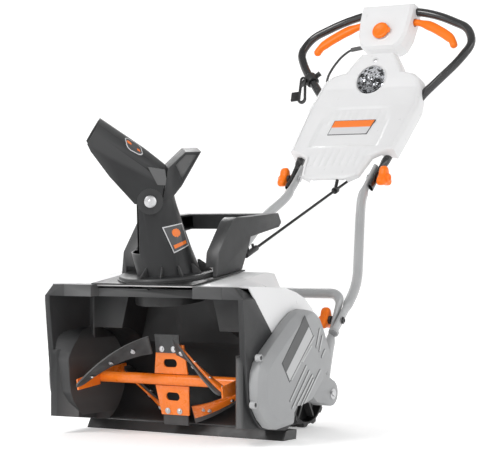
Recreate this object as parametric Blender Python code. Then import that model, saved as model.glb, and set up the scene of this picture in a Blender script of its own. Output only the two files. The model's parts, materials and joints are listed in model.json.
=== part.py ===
"""Single stage electric snowblower: metres, +Z up, the scoop faces -Y, the operator stands at +Y.

Every size below is given from the front edge of the scoop (y = 0) and the ground (z = 0).
The last step slides the machine so that the origin is the middle of the scraper's sole.
"""

import math

import bmesh
import bpy
from mathutils import Matrix, Vector

GAP = 0.0004  # clearance between touching pieces

SCOOP_HALF = 0.265
SCOOP_TOP = 0.338
AUGER_Y, AUGER_Z = 0.120, 0.125
DRUM_R = 0.113
DRUM_HALF = 0.211
AUGER_R = 0.108
SCRAPER_FRONT, SCRAPER_BACK = 0.160, 0.216
SOLE_BACK = 0.214

PLATE_TILT = math.radians(8)
PLATE_HALF = 0.137
PLATE_Z = 0.3415  # top of the base plate at y = 0
CHUTE_Y = 0.110
CHUTE_TURN = math.radians(52)  # discharge direction, from straight ahead towards -X

MOTOR_Y, MOTOR_Z = 0.218, 0.247
BELT_X = 0.281

AXLE_Y, AXLE_Z = 0.425, 0.084
WHEEL_R = 0.084
WHEEL_IN, WHEEL_OUT = 0.113, 0.173
ARM_IN, ARM_OUT = 0.190, 0.236

LOWER_PIVOT = Vector((0.0, 0.517, 0.2465))
UPPER_PIVOT = Vector((0.0, 0.849, 0.5915))
TUBE_R = 0.012
HANDLE_R = 0.0113

LOW_SLOPE = math.radians(46)
HIGH_SLOPE = math.radians(66.5)
HIGH_ORIGIN = Vector((0.0, 1.045, 0.795))

COLOURS = {
    "charcoal": ((0.050, 0.051, 0.054), 0.55, 0.0),
    "black": ((0.018, 0.018, 0.019), 0.50, 0.0),
    "gloss_black": ((0.012, 0.012, 0.013), 0.25, 0.3),
    "white": ((0.78, 0.78, 0.79), 0.42, 0.0),
    "grey": ((0.32, 0.33, 0.34), 0.45, 0.0),
    "tube": ((0.52, 0.53, 0.54), 0.35, 0.5),
    "orange": ((0.95, 0.25, 0.012), 0.40, 0.0),
    "orange_steel": ((0.90, 0.23, 0.010), 0.35, 0.2),
    "rubber": ((0.030, 0.030, 0.032), 0.75, 0.0),
    "steel": ((0.62, 0.62, 0.63), 0.30, 1.0),
    "chrome": ((0.86, 0.86, 0.87), 0.12, 1.0),
    "lens": ((0.85, 0.87, 0.88), 0.08, 0.0),
}


# ---------------------------------------------------------------- helpers


def material(name):
    """One Principled material for each finish."""
    found = bpy.data.materials.get(name)
    if found:
        return found
    colour, roughness, metallic = COLOURS[name]
    made = bpy.data.materials.new(name)
    made.use_nodes = True
    shader = made.node_tree.nodes["Principled BSDF"]
    shader.inputs["Base Color"].default_value = (*colour, 1)
    shader.inputs["Roughness"].default_value = roughness
    shader.inputs["Metallic"].default_value = metallic
    return made


def solid(name, verts, faces, finish=None):
    """A closed mesh object with its faces turned out."""
    mesh = bpy.data.meshes.new(name)
    mesh.from_pydata([tuple(v) for v in verts], [], faces)
    bm = bmesh.new()
    bm.from_mesh(mesh)
    bmesh.ops.remove_doubles(bm, verts=bm.verts, dist=1e-6)
    bmesh.ops.recalc_face_normals(bm, faces=bm.faces)
    if bm.calc_volume(signed=True) < 0:
        bmesh.ops.reverse_faces(bm, faces=bm.faces)
    bm.to_mesh(mesh)
    bm.free()
    obj = bpy.data.objects.new(name, mesh)
    bpy.context.scene.collection.objects.link(obj)
    if finish:
        mesh.materials.append(material(finish))
    return obj


def loft(name, rings, finish=None):
    """A solid through closed rings with equal point counts, capped at both ends."""
    count = len(rings[0])
    verts = [p for ring in rings for p in ring]
    faces = [list(range(count)), list(range(count * (len(rings) - 1), count * len(rings)))]
    for k in range(len(rings) - 1):
        for i in range(count):
            j = (i + 1) % count
            faces.append([k * count + i, k * count + j, (k + 1) * count + j, (k + 1) * count + i])
    return solid(name, verts, faces, finish)


def along(axis, a, b, t):
    return {"x": (t, a, b), "y": (a, t, b), "z": (a, b, t)}[axis]


def prism(name, outline, axis, low, high, finish=None):
    """A flat outline pushed along an axis: (y, z) along x, (x, z) along y, (x, y) along z."""
    return loft(name, [[along(axis, a, b, t) for a, b in outline] for t in (low, high)], finish)


def box(name, low, high, finish=None):
    outline = [(low[1], low[2]), (high[1], low[2]), (high[1], high[2]), (low[1], high[2])]
    return prism(name, outline, "x", low[0], high[0], finish)


def circle(radius, sides, a=0.0, b=0.0, start=0.0):
    turns = [start + 2 * math.pi * i / sides for i in range(sides)]
    return [(a + radius * math.cos(t), b + radius * math.sin(t)) for t in turns]


def arc(a, b, radius, first, last, steps):
    """Points on an arc, in degrees."""
    turns = [math.radians(first + (last - first) * i / steps) for i in range(steps + 1)]
    return [(a + radius * math.cos(t), b + radius * math.sin(t)) for t in turns]


def frame_of(direction, side):
    """Two unit vectors across a direction, the first as near side as it can be."""
    direction = direction.normalized()
    u = (side - direction * side.dot(direction)).normalized()
    return u, direction.cross(u)


def turned(name, profile, origin, axis, sides, finish=None, side=None):
    """A solid of revolution: profile is (distance along the axis, radius), closed if it holds a bore."""
    origin, axis = Vector(origin), Vector(axis).normalized()
    side = Vector(side) if side else Vector((0, 0, 1)) if abs(axis.z) < 0.9 else Vector((1, 0, 0))
    u, v = frame_of(axis, side)
    verts, rings = [], []
    for t, r in profile:
        turns = [2 * math.pi * i / sides for i in range(sides)] if r > 0 else [0.0]
        rings.append(list(range(len(verts), len(verts) + len(turns))))
        verts += [origin + axis * t + (u * math.cos(a) + v * math.sin(a)) * r for a in turns]
    pairs = list(zip(rings, rings[1:]))
    if profile[0][1] > 0 and profile[-1][1] > 0:
        pairs.append((rings[-1], rings[0]))
    faces = []
    for low, high in pairs:
        for i in range(sides):
            j = (i + 1) % sides
            quad = [low[i % len(low)], low[j % len(low)], high[j % len(high)], high[i % len(high)]]
            face = list(dict.fromkeys(quad))
            if len(face) > 2:
                faces.append(face)
    return solid(name, verts, faces, finish)


def rod(name, start, end, radius, sides=12, finish=None):
    start, end = Vector(start), Vector(end)
    length = (end - start).length
    return turned(name, [(0, 0), (0, radius), (length, radius), (length, 0)], start, end - start, sides, finish)


def smooth(points, reach, steps=5):
    """The route with each inner corner rounded, starting reach metres before it."""
    points = [Vector(p) for p in points]
    route = [points[0]]
    for before, corner, after in zip(points, points[1:], points[2:]):
        cut = min(reach, 0.45 * (corner - before).length, 0.45 * (after - corner).length)
        a = corner + (before - corner).normalized() * cut
        b = corner + (after - corner).normalized() * cut
        for i in range(steps + 1):
            t = i / steps
            route.append(a * (1 - t) ** 2 + corner * 2 * t * (1 - t) + b * t * t)
    return route + [points[-1]]


def densify(route, pivots, reach):
    """Adds points where a flattened stretch begins and ends."""
    route = [Vector(p) for p in route]
    marks = [m for m in (-reach - 0.02, -reach, 0.0, reach, reach + 0.02)]
    for pivot in pivots:
        for mark in marks:
            for i in range(len(route) - 1):
                step = route[i + 1] - route[i]
                t = (Vector(pivot) - route[i]).dot(step) / step.length_squared + mark / step.length
                foot = route[i] + step * t
                near = (foot - Vector(pivot)).length < abs(mark) + 0.004
                if 0.05 < t < 0.95 and near:
                    route.insert(i + 1, foot)
                    break
    return route


def tube(name, route, radius, wall, sides=8, finish=None, flats=(), reach=0.045, thin=0.5):
    """A bent tube, open at both ends, or a bar if wall is 0. It is pressed thin in x near each point of flats."""
    route = densify([Vector(p) for p in route], flats, reach) if flats else [Vector(p) for p in route]
    rings, inner = [], []
    side = Vector((1, 0, 0))
    for i, point in enumerate(route):
        ahead = route[min(i + 1, len(route) - 1)] - route[max(i - 1, 0)]
        if i == 0 and abs(ahead.normalized().x) > 0.9:
            side = Vector((0, 1, 0))
        u, v = frame_of(ahead, side)
        side = u
        near = min([(point - Vector(p)).length for p in flats], default=1)
        share = thin + (1 - thin) * min(1, max(0, (near - reach) / 0.02))
        for ring, r, shift in ((rings, radius, 0), (inner, radius - wall, wall)):
            turns = [2 * math.pi * k / sides for k in range(sides)]
            across = radius * share - shift
            ring.append([point + u * math.cos(a) * across + v * math.sin(a) * r for a in turns])
    if not wall:
        return loft(name, rings, finish)
    count = len(route)
    verts = [p for ring in rings + inner for p in ring]
    faces = []
    for start, flip in ((0, False), (count * sides, True)):
        for k in range(count - 1):
            for i in range(sides):
                a, b = start + k * sides + i, start + k * sides + (i + 1) % sides
                face = [a, b, b + sides, a + sides]
                faces.append(face[::-1] if flip else face)
    for k in (0, count - 1):
        for i in range(sides):
            a, b = k * sides + i, k * sides + (i + 1) % sides
            faces.append([b, a, a + count * sides, b + count * sides])
    return solid(name, verts, faces, finish)


def combine(target, tool, operation):
    """Applies an exact Boolean and removes the tool."""
    modifier = target.modifiers.new("cut", "BOOLEAN")
    modifier.operation = operation
    modifier.solver = "EXACT"
    modifier.object = tool
    graph = bpy.context.evaluated_depsgraph_get()
    mesh = bpy.data.meshes.new_from_object(target.evaluated_get(graph))
    target.modifiers.clear()
    target.data = mesh
    bpy.data.objects.remove(tool)
    bm = bmesh.new()
    bm.from_mesh(mesh)
    bmesh.ops.remove_doubles(bm, verts=bm.verts, dist=2e-6)
    bmesh.ops.dissolve_degenerate(bm, edges=bm.edges, dist=1e-6)
    bmesh.ops.triangulate(bm, faces=bm.faces)
    bm.to_mesh(mesh)
    bm.free()


def cut(target, *tools):
    for tool in tools:
        combine(target, tool, "DIFFERENCE")
    return target


def add(target, *tools):
    for tool in tools:
        combine(target, tool, "UNION")
    return target


def pivot(obj, point):
    """Puts the object's origin on its joint's axis without moving its shape."""
    obj.data.transform(Matrix.Translation(-Vector(point)))
    obj.location = point
    return obj


def mirrored(points):
    return [(-x, y, z) for x, y, z in points]


def both_sides(maker, stem):
    """Builds the right piece at +x and the left piece at -x."""
    return [maker(stem + "_right", 1), maker(stem + "_left", -1)]


# ---------------------------------------------------------------- scoop and covers


SIDE_FRONT = [(0.0, SCOOP_TOP), (0.0, 0.30), (0.011, 0.186), (0.021, 0.095), (0.033, 0.071)]
SIDE_BOTTOM = [(0.055, 0.047), (0.074, 0.036), (0.13, 0.026), (0.172, 0.0225), (0.205, 0.035)]
SIDE_BACK = [(0.225, 0.07), (0.240, 0.12), (0.235, 0.17), (0.205, 0.210), (0.160, 0.235)]
SIDE_TOP = [(0.118, 0.235), (0.041, 0.318), (0.022, SCOOP_TOP)]


SIDE_POCKET = [
    (0.060, 0.070), (0.075, 0.048), (0.115, 0.048), (0.125, 0.068), (0.150, 0.083), (0.190, 0.095), (0.220, 0.112),
    (0.228, 0.125), (0.226, 0.160), (0.200, 0.200), (0.157, 0.226), (0.122, 0.226), (0.085, 0.200), (0.060, 0.160),
]


def flared_cut(name, y_out, half_out, y_in, half_in, low, high):
    """A wedge of the mouth that narrows from the front edge inwards."""
    rings = []
    for y, half in ((y_out, half_out), (y_in, half_in)):
        rings.append([(-half, y, low), (half, y, low), (half, y, high), (-half, y, high)])
    return loft(name, rings)


def scoop_housing():
    body = prism("scoop_housing", SIDE_FRONT + SIDE_BOTTOM + SIDE_BACK + SIDE_TOP, "x",
                 -SCOOP_HALF, SCOOP_HALF, "charcoal")
    shell = [(0.012, 0.04), (0.012, 0.330), (0.1155, 0.330), (0.1155, 0.2415)]
    shell += arc(AUGER_Y, AUGER_Z, DRUM_R + 0.0035, 88, -62, 14)
    add(body, prism("inner", shell, "x", -0.2575, 0.2575))
    add(body, box("throat", (-0.152, 0.09, 0.2), (0.152, 0.205, 0.330)))
    corner = [(0.240, SCOOP_TOP + 0.001), (SCOOP_HALF + 0.001, 0.311), (SCOOP_HALF + 0.001, SCOOP_TOP + 0.001)]
    for side in (1, -1):
        cut(body, prism("corner", [(side * x, z) for x, z in corner], "y", -0.01, 0.05))
    cut(
        body,
        prism("drum", circle(DRUM_R, 32, AUGER_Y, AUGER_Z), "x", -DRUM_HALF, DRUM_HALF),
        box("ground", (-DRUM_HALF, -0.02, -0.02), (DRUM_HALF, 0.172, 0.10)),
        flared_cut("lower_mouth", -0.02, 0.2625, 0.055, DRUM_HALF, -0.02, 0.245),
        flared_cut("upper_mouth", -0.02, 0.2575, 0.112, 0.2236, 0.19, 0.312),
        box("notch", (-0.136, -0.02, 0.30), (0.136, 0.03, 0.36)),
        prism("funnel", [(-0.142, 0.2), (0.142, 0.2), (0.110, 0.327), (-0.110, 0.327)], "y", 0.05, 0.2),
        rod("hole", throat_point(-0.045), throat_point(0.0), 0.0835, 28),
        box("roof_right", (0.155, 0.04, 0.3155), (0.253, 0.1125, 0.34)),
        box("roof_left", (-0.253, 0.04, 0.3155), (-0.155, 0.1125, 0.34)),
    )
    for side in (1, -1):
        low, high = sorted((side * 0.2155, side * 0.28))
        cut(body, prism("pocket", SIDE_POCKET, "x", low, high))
        cut(body, rod("bore", (side * 0.2, AUGER_Y, AUGER_Z), (side * 0.22, AUGER_Y, AUGER_Z), 0.0135))
    return parted(body)


def parted(body):
    """Parts the scoop along two upright seams: its side walls from the drum, roof and throat between them."""
    inner, outer = 0.2108, 0.2112
    regions = {
        "scoop_side_right": ((outer, -0.1, -0.1), (0.4, 0.5, 0.5)),
        "scoop_side_left": ((-0.4, -0.1, -0.1), (-outer, 0.5, 0.5)),
        "scoop_drum": ((-inner, -0.1, -0.1), (inner, 0.5, 0.5)),
    }
    pieces = []
    for name, (low, high) in regions.items():
        piece = body.copy()
        piece.name, piece.data = name, body.data.copy()
        bpy.context.scene.collection.objects.link(piece)
        combine(piece, box("region", low, high), "INTERSECT")
        pieces.append(piece)
    bpy.data.objects.remove(body)
    return pieces


def scraper_bar():
    profile = [
        (SCRAPER_FRONT, 0), (SOLE_BACK, 0), (SOLE_BACK, 0.006), (0.172, 0.006), (0.179, 0.0155),
        (SCRAPER_BACK, 0.0155), (SCRAPER_BACK, 0.0215), (0.1725, 0.0215),
    ]
    return prism("scraper_bar", profile, "x", -0.267, 0.267, "black")


def on_plate(x, y, above):
    """A point on the tilted base plate, above its top face."""
    return Vector((x, y - above * math.sin(PLATE_TILT), PLATE_Z + y * math.tan(PLATE_TILT) + above))


PLATE_AXIS = Vector((0, -math.sin(PLATE_TILT), math.cos(PLATE_TILT)))
CHUTE_CENTRE = Vector((0, CHUTE_Y, PLATE_Z + CHUTE_Y * math.tan(PLATE_TILT)))


def throat_point(height):
    """A point on the chute's turning axis, above the plate's top face."""
    return CHUTE_CENTRE + PLATE_AXIS * height


def chute_base_plate():
    edge = [(-PLATE_HALF, 0.003), (PLATE_HALF, 0.003), (PLATE_HALF, 0.209), (-PLATE_HALF, 0.209)]
    rings = [[on_plate(x, y, t) for x, y in edge] for t in (-0.0035, 0)]
    plate = loft("chute_base_plate", rings, "black")
    ring = [(-0.002, 0), (-0.002, 0.116), (0.004, 0.116), (0.004, 0)]
    add(plate, turned("ring", ring, CHUTE_CENTRE, PLATE_AXIS, 36))
    add(plate, rod("sleeve", throat_point(-0.056), throat_point(-0.001), 0.080, 32))
    cut(plate, rod("bore", throat_point(-0.1), throat_point(0.05), 0.066, 28))
    return cut(plate, rod("inside", throat_point(-0.1), throat_point(-0.006), 0.077, 28))


def shrunk(outline, even, wide):
    """The outline moved inwards: even all round, and wide along the front and top edges only."""
    points = []
    for i, (y, z) in enumerate(outline):
        before, after = Vector(outline[i - 1]), Vector(outline[(i + 1) % len(outline)])
        ahead = (after - before).normalized()
        share = ((0.25 if z > 0.19 else 0.15) - y) / 0.07
        inset = even + wide * max(0.15, min(1.0, share))
        points.append((y + ahead.y * inset, z - ahead.x * inset))
    return points


def carry_handle():
    arm = [
        (0.107, 0.0), (0.114, 0.41), (0.168, 0.478), (0.185, 0.488), (0.235, 0.4886), (0.364, 0.4985),
        (0.378, 0.4776), (0.368, 0.4668), (0.2454, 0.4447), (0.240, 0.430), (0.209, 0.0),
    ]
    foot = {0: on_plate(0, 0.107, 0.0006).z, 10: on_plate(0, 0.209, 0.0006).z}
    arm = [(y, foot.get(i, z)) for i, (y, z) in enumerate(arm)]
    pocket = shrunk(arm, 0.0045, 0)
    bar = [(0.336, 0.462), (0.336, 0.4963), (0.364, 0.4985), (0.378, 0.4776), (0.368, 0.4668)]
    handle = prism("carry_handle", bar, "x", -0.11, 0.11, "charcoal")
    for side in (1, -1):
        add(handle, prism("arm", arm, "x", *sorted((side * 0.097, side * 0.129))))
        cut(handle, prism("pocket", pocket, "x", *sorted((side * 0.09, side * 0.1255))))
    ring = rod("clear", CHUTE_CENTRE - PLATE_AXIS * 0.01, CHUTE_CENTRE + PLATE_AXIS * 0.02, 0.1175, 36)
    return cut(handle, ring)


def motor_cover():
    boundary = [(y + 0.0007, z + 0.0012) for y, z in reversed(SIDE_TOP)]
    boundary += [(0.1612, 0.2362), (0.2062, 0.2113), (0.2362, 0.171), (0.2412, 0.12), (0.2262, 0.0695), (0.2152, 0.05)]
    top = [(0.06, 0.3388), (0.12, 0.336), (0.176, 0.3326), (0.22, 0.322), (0.258, 0.3075), (0.29, 0.283)]
    back = [(0.315, 0.25), (0.330, 0.20), (0.3355, 0.14), (0.328, 0.085), (0.31, 0.05)]
    cover = prism("motor_cover", boundary[::-1] + top + back, "x", -0.2635, 0.2635, "white")

    line = [(0.03, 0.3375), (0.12, 0.3350), (0.176, 0.3315), (0.22, 0.3210), (0.262, 0.3045)]
    ridge = [(0.03, 0.3405), (0.12, 0.3530), (0.210, 0.3655), (0.235, 0.3625), (0.262, 0.3180)]

    def hump(name, half, top_drop, edge, foot):
        rings = []
        for x, tops, drop in ((-0.228, line, edge), (-0.198, ridge, top_drop), (0.198, ridge, top_drop), (0.228, line, edge)):
            low = [(y, z - foot) for y, z in reversed(line)]
            rings.append([(x * half / 0.228, y, z) for y, z in [(y, z - drop) for y, z in tops] + low])
        return loft(name, rings)

    add(cover, hump("hump", 0.228, 0.0, -0.0005, 0.0015))
    inside = [(0.05, 0.3355), (0.12, 0.333), (0.176, 0.3296), (0.218, 0.319), (0.2563, 0.3047), (0.2875, 0.281)]
    inside += [(0.3122, 0.249), (0.327, 0.20), (0.3325, 0.14), (0.325, 0.086), (0.31, 0.04), (0.20, 0.04)]
    inside += [(0.20, 0.17), (0.10, 0.20), (0.02, 0.3355)]
    cut(cover, prism("inside", inside, "x", -0.2605, 0.2605), hump("hump_inside", 0.2225, 0.003, 0.0045, 0.0065))
    cut(cover, rod("chute_hole", throat_point(-0.06), throat_point(0.03), 0.0835, 32))
    under = [(0.08, 0.03), (0.15, 0.078), (0.209, 0.086), (0.245, 0.106), (0.290, 0.145), (0.36, 0.215), (0.36, 0.0),
             (0.08, 0.0)]
    cut(cover, prism("under", under, "x", -0.3, 0.3))
    cut(cover, rod("shaft_hole", (0.25, MOTOR_Y, MOTOR_Z), (0.27, MOTOR_Y, MOTOR_Z), 0.008))
    return cut(cover, box("front", (-0.3, -0.1, 0.0), (0.3, 0.0242, 0.5)))


BELT_OUTLINE = [
    (0.021, 0.134), (0.024, 0.157), (0.035, 0.178), (0.067, 0.204), (0.110, 0.234), (0.150, 0.262), (0.185, 0.280),
    (0.215, 0.286), (0.240, 0.283), (0.265, 0.268), (0.283, 0.243), (0.301, 0.211), (0.313, 0.188), (0.318, 0.168),
    (0.314, 0.154), (0.290, 0.134), (0.248, 0.097), (0.232, 0.084), (0.209, 0.077), (0.167, 0.072), (0.158, 0.063),
    (0.156, 0.043), (0.149, 0.036), (0.099, 0.031), (0.075, 0.037), (0.051, 0.056), (0.031, 0.081), (0.023, 0.105),
]


def side_cover(name, side, depth, bevel, finish):
    face = SCOOP_HALF + GAP

    def rings(stations):
        return [[(side * (face + t), y, z) for y, z in shrunk(BELT_OUTLINE, even, wide)] for t, even, wide in stations]

    outside = rings(((0, 0, 0), (depth - bevel, 0.001, 0), (depth, 0.003, bevel + 0.004)))
    inside = rings(((-0.01, 0.003, 0), (depth - bevel - 0.001, 0.004, 0), (depth - 0.003, 0.006, bevel + 0.004)))
    return cut(loft(name, outside, finish), loft("hollow", inside))


def drive():
    """The motor, its pulley, the belt and the bearings behind the covers."""
    shell = [(0.158, 0.0), (0.158, 0.034), (0.164, 0.037), (0.250, 0.037), (0.256, 0.030), (0.256, 0.0045),
             (0.274, 0.0045), (0.274, 0.0)]
    turned("drive_motor", shell, (0, MOTOR_Y, MOTOR_Z), (1, 0, 0), 24, "steel")
    groove = [(0.0, 0.0), (0.0, 0.0155), (0.0035, 0.0125), (0.0105, 0.0125), (0.014, 0.0155), (0.014, 0.0)]
    pulley = [(0.2745 + t, r) for t, r in groove]
    made = turned("motor_pulley", pulley, (0, MOTOR_Y, MOTOR_Z), (1, 0, 0), 20, "steel")
    pivot(made, (BELT_X, MOTOR_Y, MOTOR_Z))
    groove = [(0.0, 0.0), (0.0, 0.056), (0.0035, 0.053), (0.0105, 0.053), (0.014, 0.056), (0.014, 0.0)]
    pulley = [(0.2745 + t, r) for t, r in groove]
    made = turned("auger_pulley", pulley, (0, AUGER_Y, AUGER_Z), (1, 0, 0), 28, "black")
    pivot(made, (BELT_X, AUGER_Y, AUGER_Z))
    belt = []
    start, end = Vector((AUGER_Y, AUGER_Z)), Vector((MOTOR_Y, MOTOR_Z))
    heading = math.degrees(math.atan2(end.y - start.y, end.x - start.x))
    lean = math.degrees(math.asin((0.0535 - 0.013) / (end - start).length))
    for grow in (0.0035, 0.0):
        loop = arc(*start, 0.0535 + grow, heading + 90 - lean, heading + 270 + lean, 14)
        loop += arc(*end, 0.013 + grow, heading - 90 + lean, heading + 90 - lean, 7)
        belt.append(loop)
    strap = prism("drive_belt", belt[0], "x", 0.2785, 0.2850, "rubber")
    cut(strap, prism("inside", belt[1], "x", 0.27, 0.29))
    profile = [(0.2135, 0.0084), (0.2135, 0.013), (0.222, 0.013), (0.222, 0.018), (0.226, 0.018), (0.226, 0.0084)]
    for side, hand in ((1, "right"), (-1, "left")):
        turned("auger_bearing_" + hand, profile, (0, AUGER_Y, AUGER_Z), (side, 0, 0), 20, "steel")


# ---------------------------------------------------------------- auger


def spiral(x):
    """Turn of the paddle at x: both ends run ahead of the middle."""
    return math.radians(94) * abs(x) / 0.2


ARM_START, ARM_END = 0.047, 0.191
ARM_STEPS = [ARM_START + (ARM_END - ARM_START) * i / 12 for i in range(13)]


def strip(name, places, lead, inner, outer, lift, thick, finish):
    """A strip of a spiral paddle through the given places along x, thick along the way round."""
    rings = []
    for x in places:
        turn = lead + spiral(x)
        ring = []
        for r, t in ((inner, -thick / 2), (outer, -thick / 2), (outer, thick / 2), (inner, thick / 2)):
            y = AUGER_Y - r * math.sin(turn) - (t + lift) * math.cos(turn)
            z = AUGER_Z + r * math.cos(turn) - (t + lift) * math.sin(turn)
            ring.append((x, y, z))
        rings.append(ring)
    return loft(name, rings, finish)


def auger():
    """A tube with two centre plates, four spiral arms and their rubber paddles."""
    shaft = [(-0.262, 0.0045), (-0.262, 0.008), (-0.2105, 0.008), (-0.205, 0.0125), (0.205, 0.0125), (0.2105, 0.008),
             (0.2742, 0.008), (0.2742, 0.0045), (0.206, 0.0045), (0.201, 0.0105), (-0.201, 0.0105), (-0.206, 0.0045)]
    turned("auger_shaft", shaft, (0, AUGER_Y, AUGER_Z), (1, 0, 0), 16, "orange_steel")
    names = ("upper", "lower")
    for index, name in enumerate(names):
        lead = math.radians(8) + math.pi * index
        plate = []
        for x, r in ((-0.045, 0.0135), (0.045, 0.0135), (0.040, 0.080), (-0.034, 0.080)):
            plate.append((x, r))
        rings = []
        for lift in (-0.002, 0.002):
            ring = []
            for x, r in plate:
                a = lead
                y = AUGER_Y - r * math.sin(a) + lift * math.cos(a)
                z = AUGER_Z + r * math.cos(a) + lift * math.sin(a)
                ring.append((x, y, z))
            rings.append(ring)
        made = loft("auger_plate_" + name, rings, "orange_steel")
        reach = Vector((0, -math.sin(lead), math.cos(lead)))
        across = Vector((0, math.cos(lead), math.sin(lead)))
        middle = Vector((0, AUGER_Y, AUGER_Z)) + reach * 0.038
        slot = []
        for side in (-1, 1):
            points = circle(0.0095, 16)
            slot.append([middle + Vector((0.0085 * (1 if a > 0 else -1) + a, 0, 0)) + reach * b + across * 0.01 * side
                         for a, b in points])
        cut(made, loft("slot", slot))
        edge = []
        for lift in (-0.0075, -0.0026):
            ring = []
            for x, r in ((-0.033, 0.062), (0.033, 0.062), (0.033, 0.104), (-0.033, 0.104)):
                point = Vector((x, AUGER_Y, AUGER_Z)) + reach * r + across * lift
                ring.append(tuple(point))
            edge.append(ring)
        loft("auger_edge_" + name, edge, "rubber")
        for side, hand in ((-1, "left"), (1, "right")):
            places = [side * x for x in ARM_STEPS]
            end = side * (ARM_END + 0.003)
            arm = strip(f"auger_arm_{name}_{hand}", places + [end], lead, 0.074, 0.092, -0.0046, 0.0035, "orange_steel")
            bracket = []
            a = lead + spiral(end)
            for t in (0.0, 0.004):
                ring = []
                for r, w in ((0.0115, -0.016), (0.0935, -0.0105), (0.0935, 0.014), (0.0115, 0.016)):
                    y = AUGER_Y - r * math.sin(a) + w * math.cos(a)
                    z = AUGER_Z + r * math.cos(a) + w * math.sin(a)
                    ring.append((end + side * (t - 0.0022), y, z))
                bracket.append(ring)
            add(arm, loft("bracket", bracket))
            cut(arm, rod("bore", (-0.21, AUGER_Y, AUGER_Z), (0.21, AUGER_Y, AUGER_Z), 0.0129, 16))
            strip(f"auger_paddle_{name}_{hand}", [side * 0.036] + places, lead, 0.078, AUGER_R, 0.0006, 0.005, "rubber")


# ---------------------------------------------------------------- chute


CHUTE_AHEAD = Vector((-math.sin(CHUTE_TURN), -math.cos(CHUTE_TURN), 0))
CHUTE_ACROSS = Vector((math.cos(CHUTE_TURN), -math.sin(CHUTE_TURN), 0))
TILT = Matrix.Rotation(PLATE_TILT, 3, "X")


def in_chute(e, w, h):
    """A chute point: e towards the discharge, w across, h up the turning axis."""
    return CHUTE_CENTRE + TILT @ (CHUTE_AHEAD * e + CHUTE_ACROSS * w + Vector((0, 0, h)))


def rounded(a, b, power, sides=24):
    points = []
    for i in range(sides):
        t = 2 * math.pi * i / sides
        c, s = math.cos(t), math.sin(t)
        points.append((a * math.copysign(abs(c) ** (2 / power), c), b * math.copysign(abs(s) ** (2 / power), s)))
    return points


CHUTE_STATIONS = [
    (0.0065, 0.000, 0.071, 0.071, 2.0), (0.060, 0.013, 0.067, 0.064, 2.2), (0.112, 0.018, 0.058, 0.059, 2.8),
    (0.160, 0.0215, 0.050, 0.057, 3.2), (0.200, 0.0235, 0.0445, 0.055, 3.2),
]
HINGE_E, HINGE_H = 0.032, 0.176
DEFLECTOR_HALF = 0.0635


def chute():
    def wall(name, inset, extra):
        rings = []
        for k, (h, e, a, b, power) in enumerate(CHUTE_STATIONS):
            if k == 0:
                h -= extra
            if k == len(CHUTE_STATIONS) - 1:
                h += extra
            rings.append([in_chute(e + p, q, h) for p, q in rounded(a - inset, b - inset, power)])
        return loft(name, rings, "charcoal")

    body = wall("chute", 0.0, 0.0)
    flange = [(0.0045, 0), (0.0045, 0.113), (0.0095, 0.110), (0.0105, 0)]
    add(body, turned("flange", flange, CHUTE_CENTRE, PLATE_AXIS, 36))
    cut(body, wall("inside", 0.003, 0.01))
    mouth = [(0.064, 0.060), (0.25, 0.060), (0.25, 0.30), (0.050, 0.30)]
    rings = [[in_chute(e, w, h) for e, h in mouth] for w in (-0.1, 0.1)]
    cut(body, loft("mouth", rings))
    for w in (-1, 1):
        rim = rod("bolt_hole", in_chute(HINGE_E, w * 0.04, HINGE_H), in_chute(HINGE_E, w * 0.07, HINGE_H), 0.0045)
        cut(body, rim)
    return pivot(body, CHUTE_CENTRE)


def chute_deflector():
    """A hood with two side flanges, hinged on the chute's cheeks."""
    stations = [
        ((0.004, 0.171), (0.006, 0.181), (-0.012, 0.247)),
        ((0.066, 0.173), (0.052, 0.218), (0.031, 0.287)),
        ((0.116, 0.238), (0.102, 0.262), (0.082, 0.328)),
        ((0.152, 0.296), (0.158, 0.312), (0.124, 0.362)),
    ]
    rings = []
    for low, crease, top in stations:
        low, crease, top = Vector(low), Vector(crease), Vector(top)
        outer, inner = [], []
        shape = ((low, 1.0), (crease, 1.0), (crease.lerp(top, 0.5), 0.96), (crease.lerp(top, 0.82), 0.80),
                 (top, 0.50))
        up = (top - low).normalized()
        for point, share in shape:
            drop = up * (0.003 if share < 0.9 else 0)
            outer.append((point, share * DEFLECTOR_HALF))
            inner.append((point - drop, share * DEFLECTOR_HALF - 0.0033))
        loop = [(p, w) for p, w in outer] + [(p, -w) for p, w in reversed(outer)]
        loop += [(p, -w) for p, w in inner] + [(p, w) for p, w in reversed(inner)]
        rings.append([in_chute(p.x, w, p.y) for p, w in loop])
    hood = loft("chute_deflector", rings, "charcoal")
    for side in (-1, 1):
        start, end = side * (DEFLECTOR_HALF - 0.0033), side * (DEFLECTOR_HALF + 0.0012)
        add(hood, rod("ear", in_chute(HINGE_E, start, HINGE_H), in_chute(HINGE_E, end, HINGE_H), 0.0285, 24))
    tab = [(-0.006, 0.218), (-0.013, 0.245), (-0.054, 0.278), (-0.088, 0.276), (-0.040, 0.205), (-0.016, 0.179),
           (0.004, 0.175)]
    wide = DEFLECTOR_HALF - 0.0004
    add(hood, loft("tab", [[in_chute(e, w, h) for e, h in tab] for w in (-wide, wide)]))
    inner = DEFLECTOR_HALF - 0.0033
    cut(hood, rod("swing", in_chute(HINGE_E, -inner, HINGE_H), in_chute(HINGE_E, inner, HINGE_H), 0.068, 32))
    hollow = [(-0.030, 0.251), (-0.054, 0.272), (-0.078, 0.270), (-0.042, 0.219)]
    cut(hood, loft("hollow", [[in_chute(e, w, h) for e, h in hollow] for w in (-inner + 0.002, 0.1)]))
    cut(hood, rod("bore", in_chute(HINGE_E, -0.08, HINGE_H), in_chute(HINGE_E, 0.08, HINGE_H), 0.0045))
    return pivot(hood, in_chute(HINGE_E, 0, HINGE_H))


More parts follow.
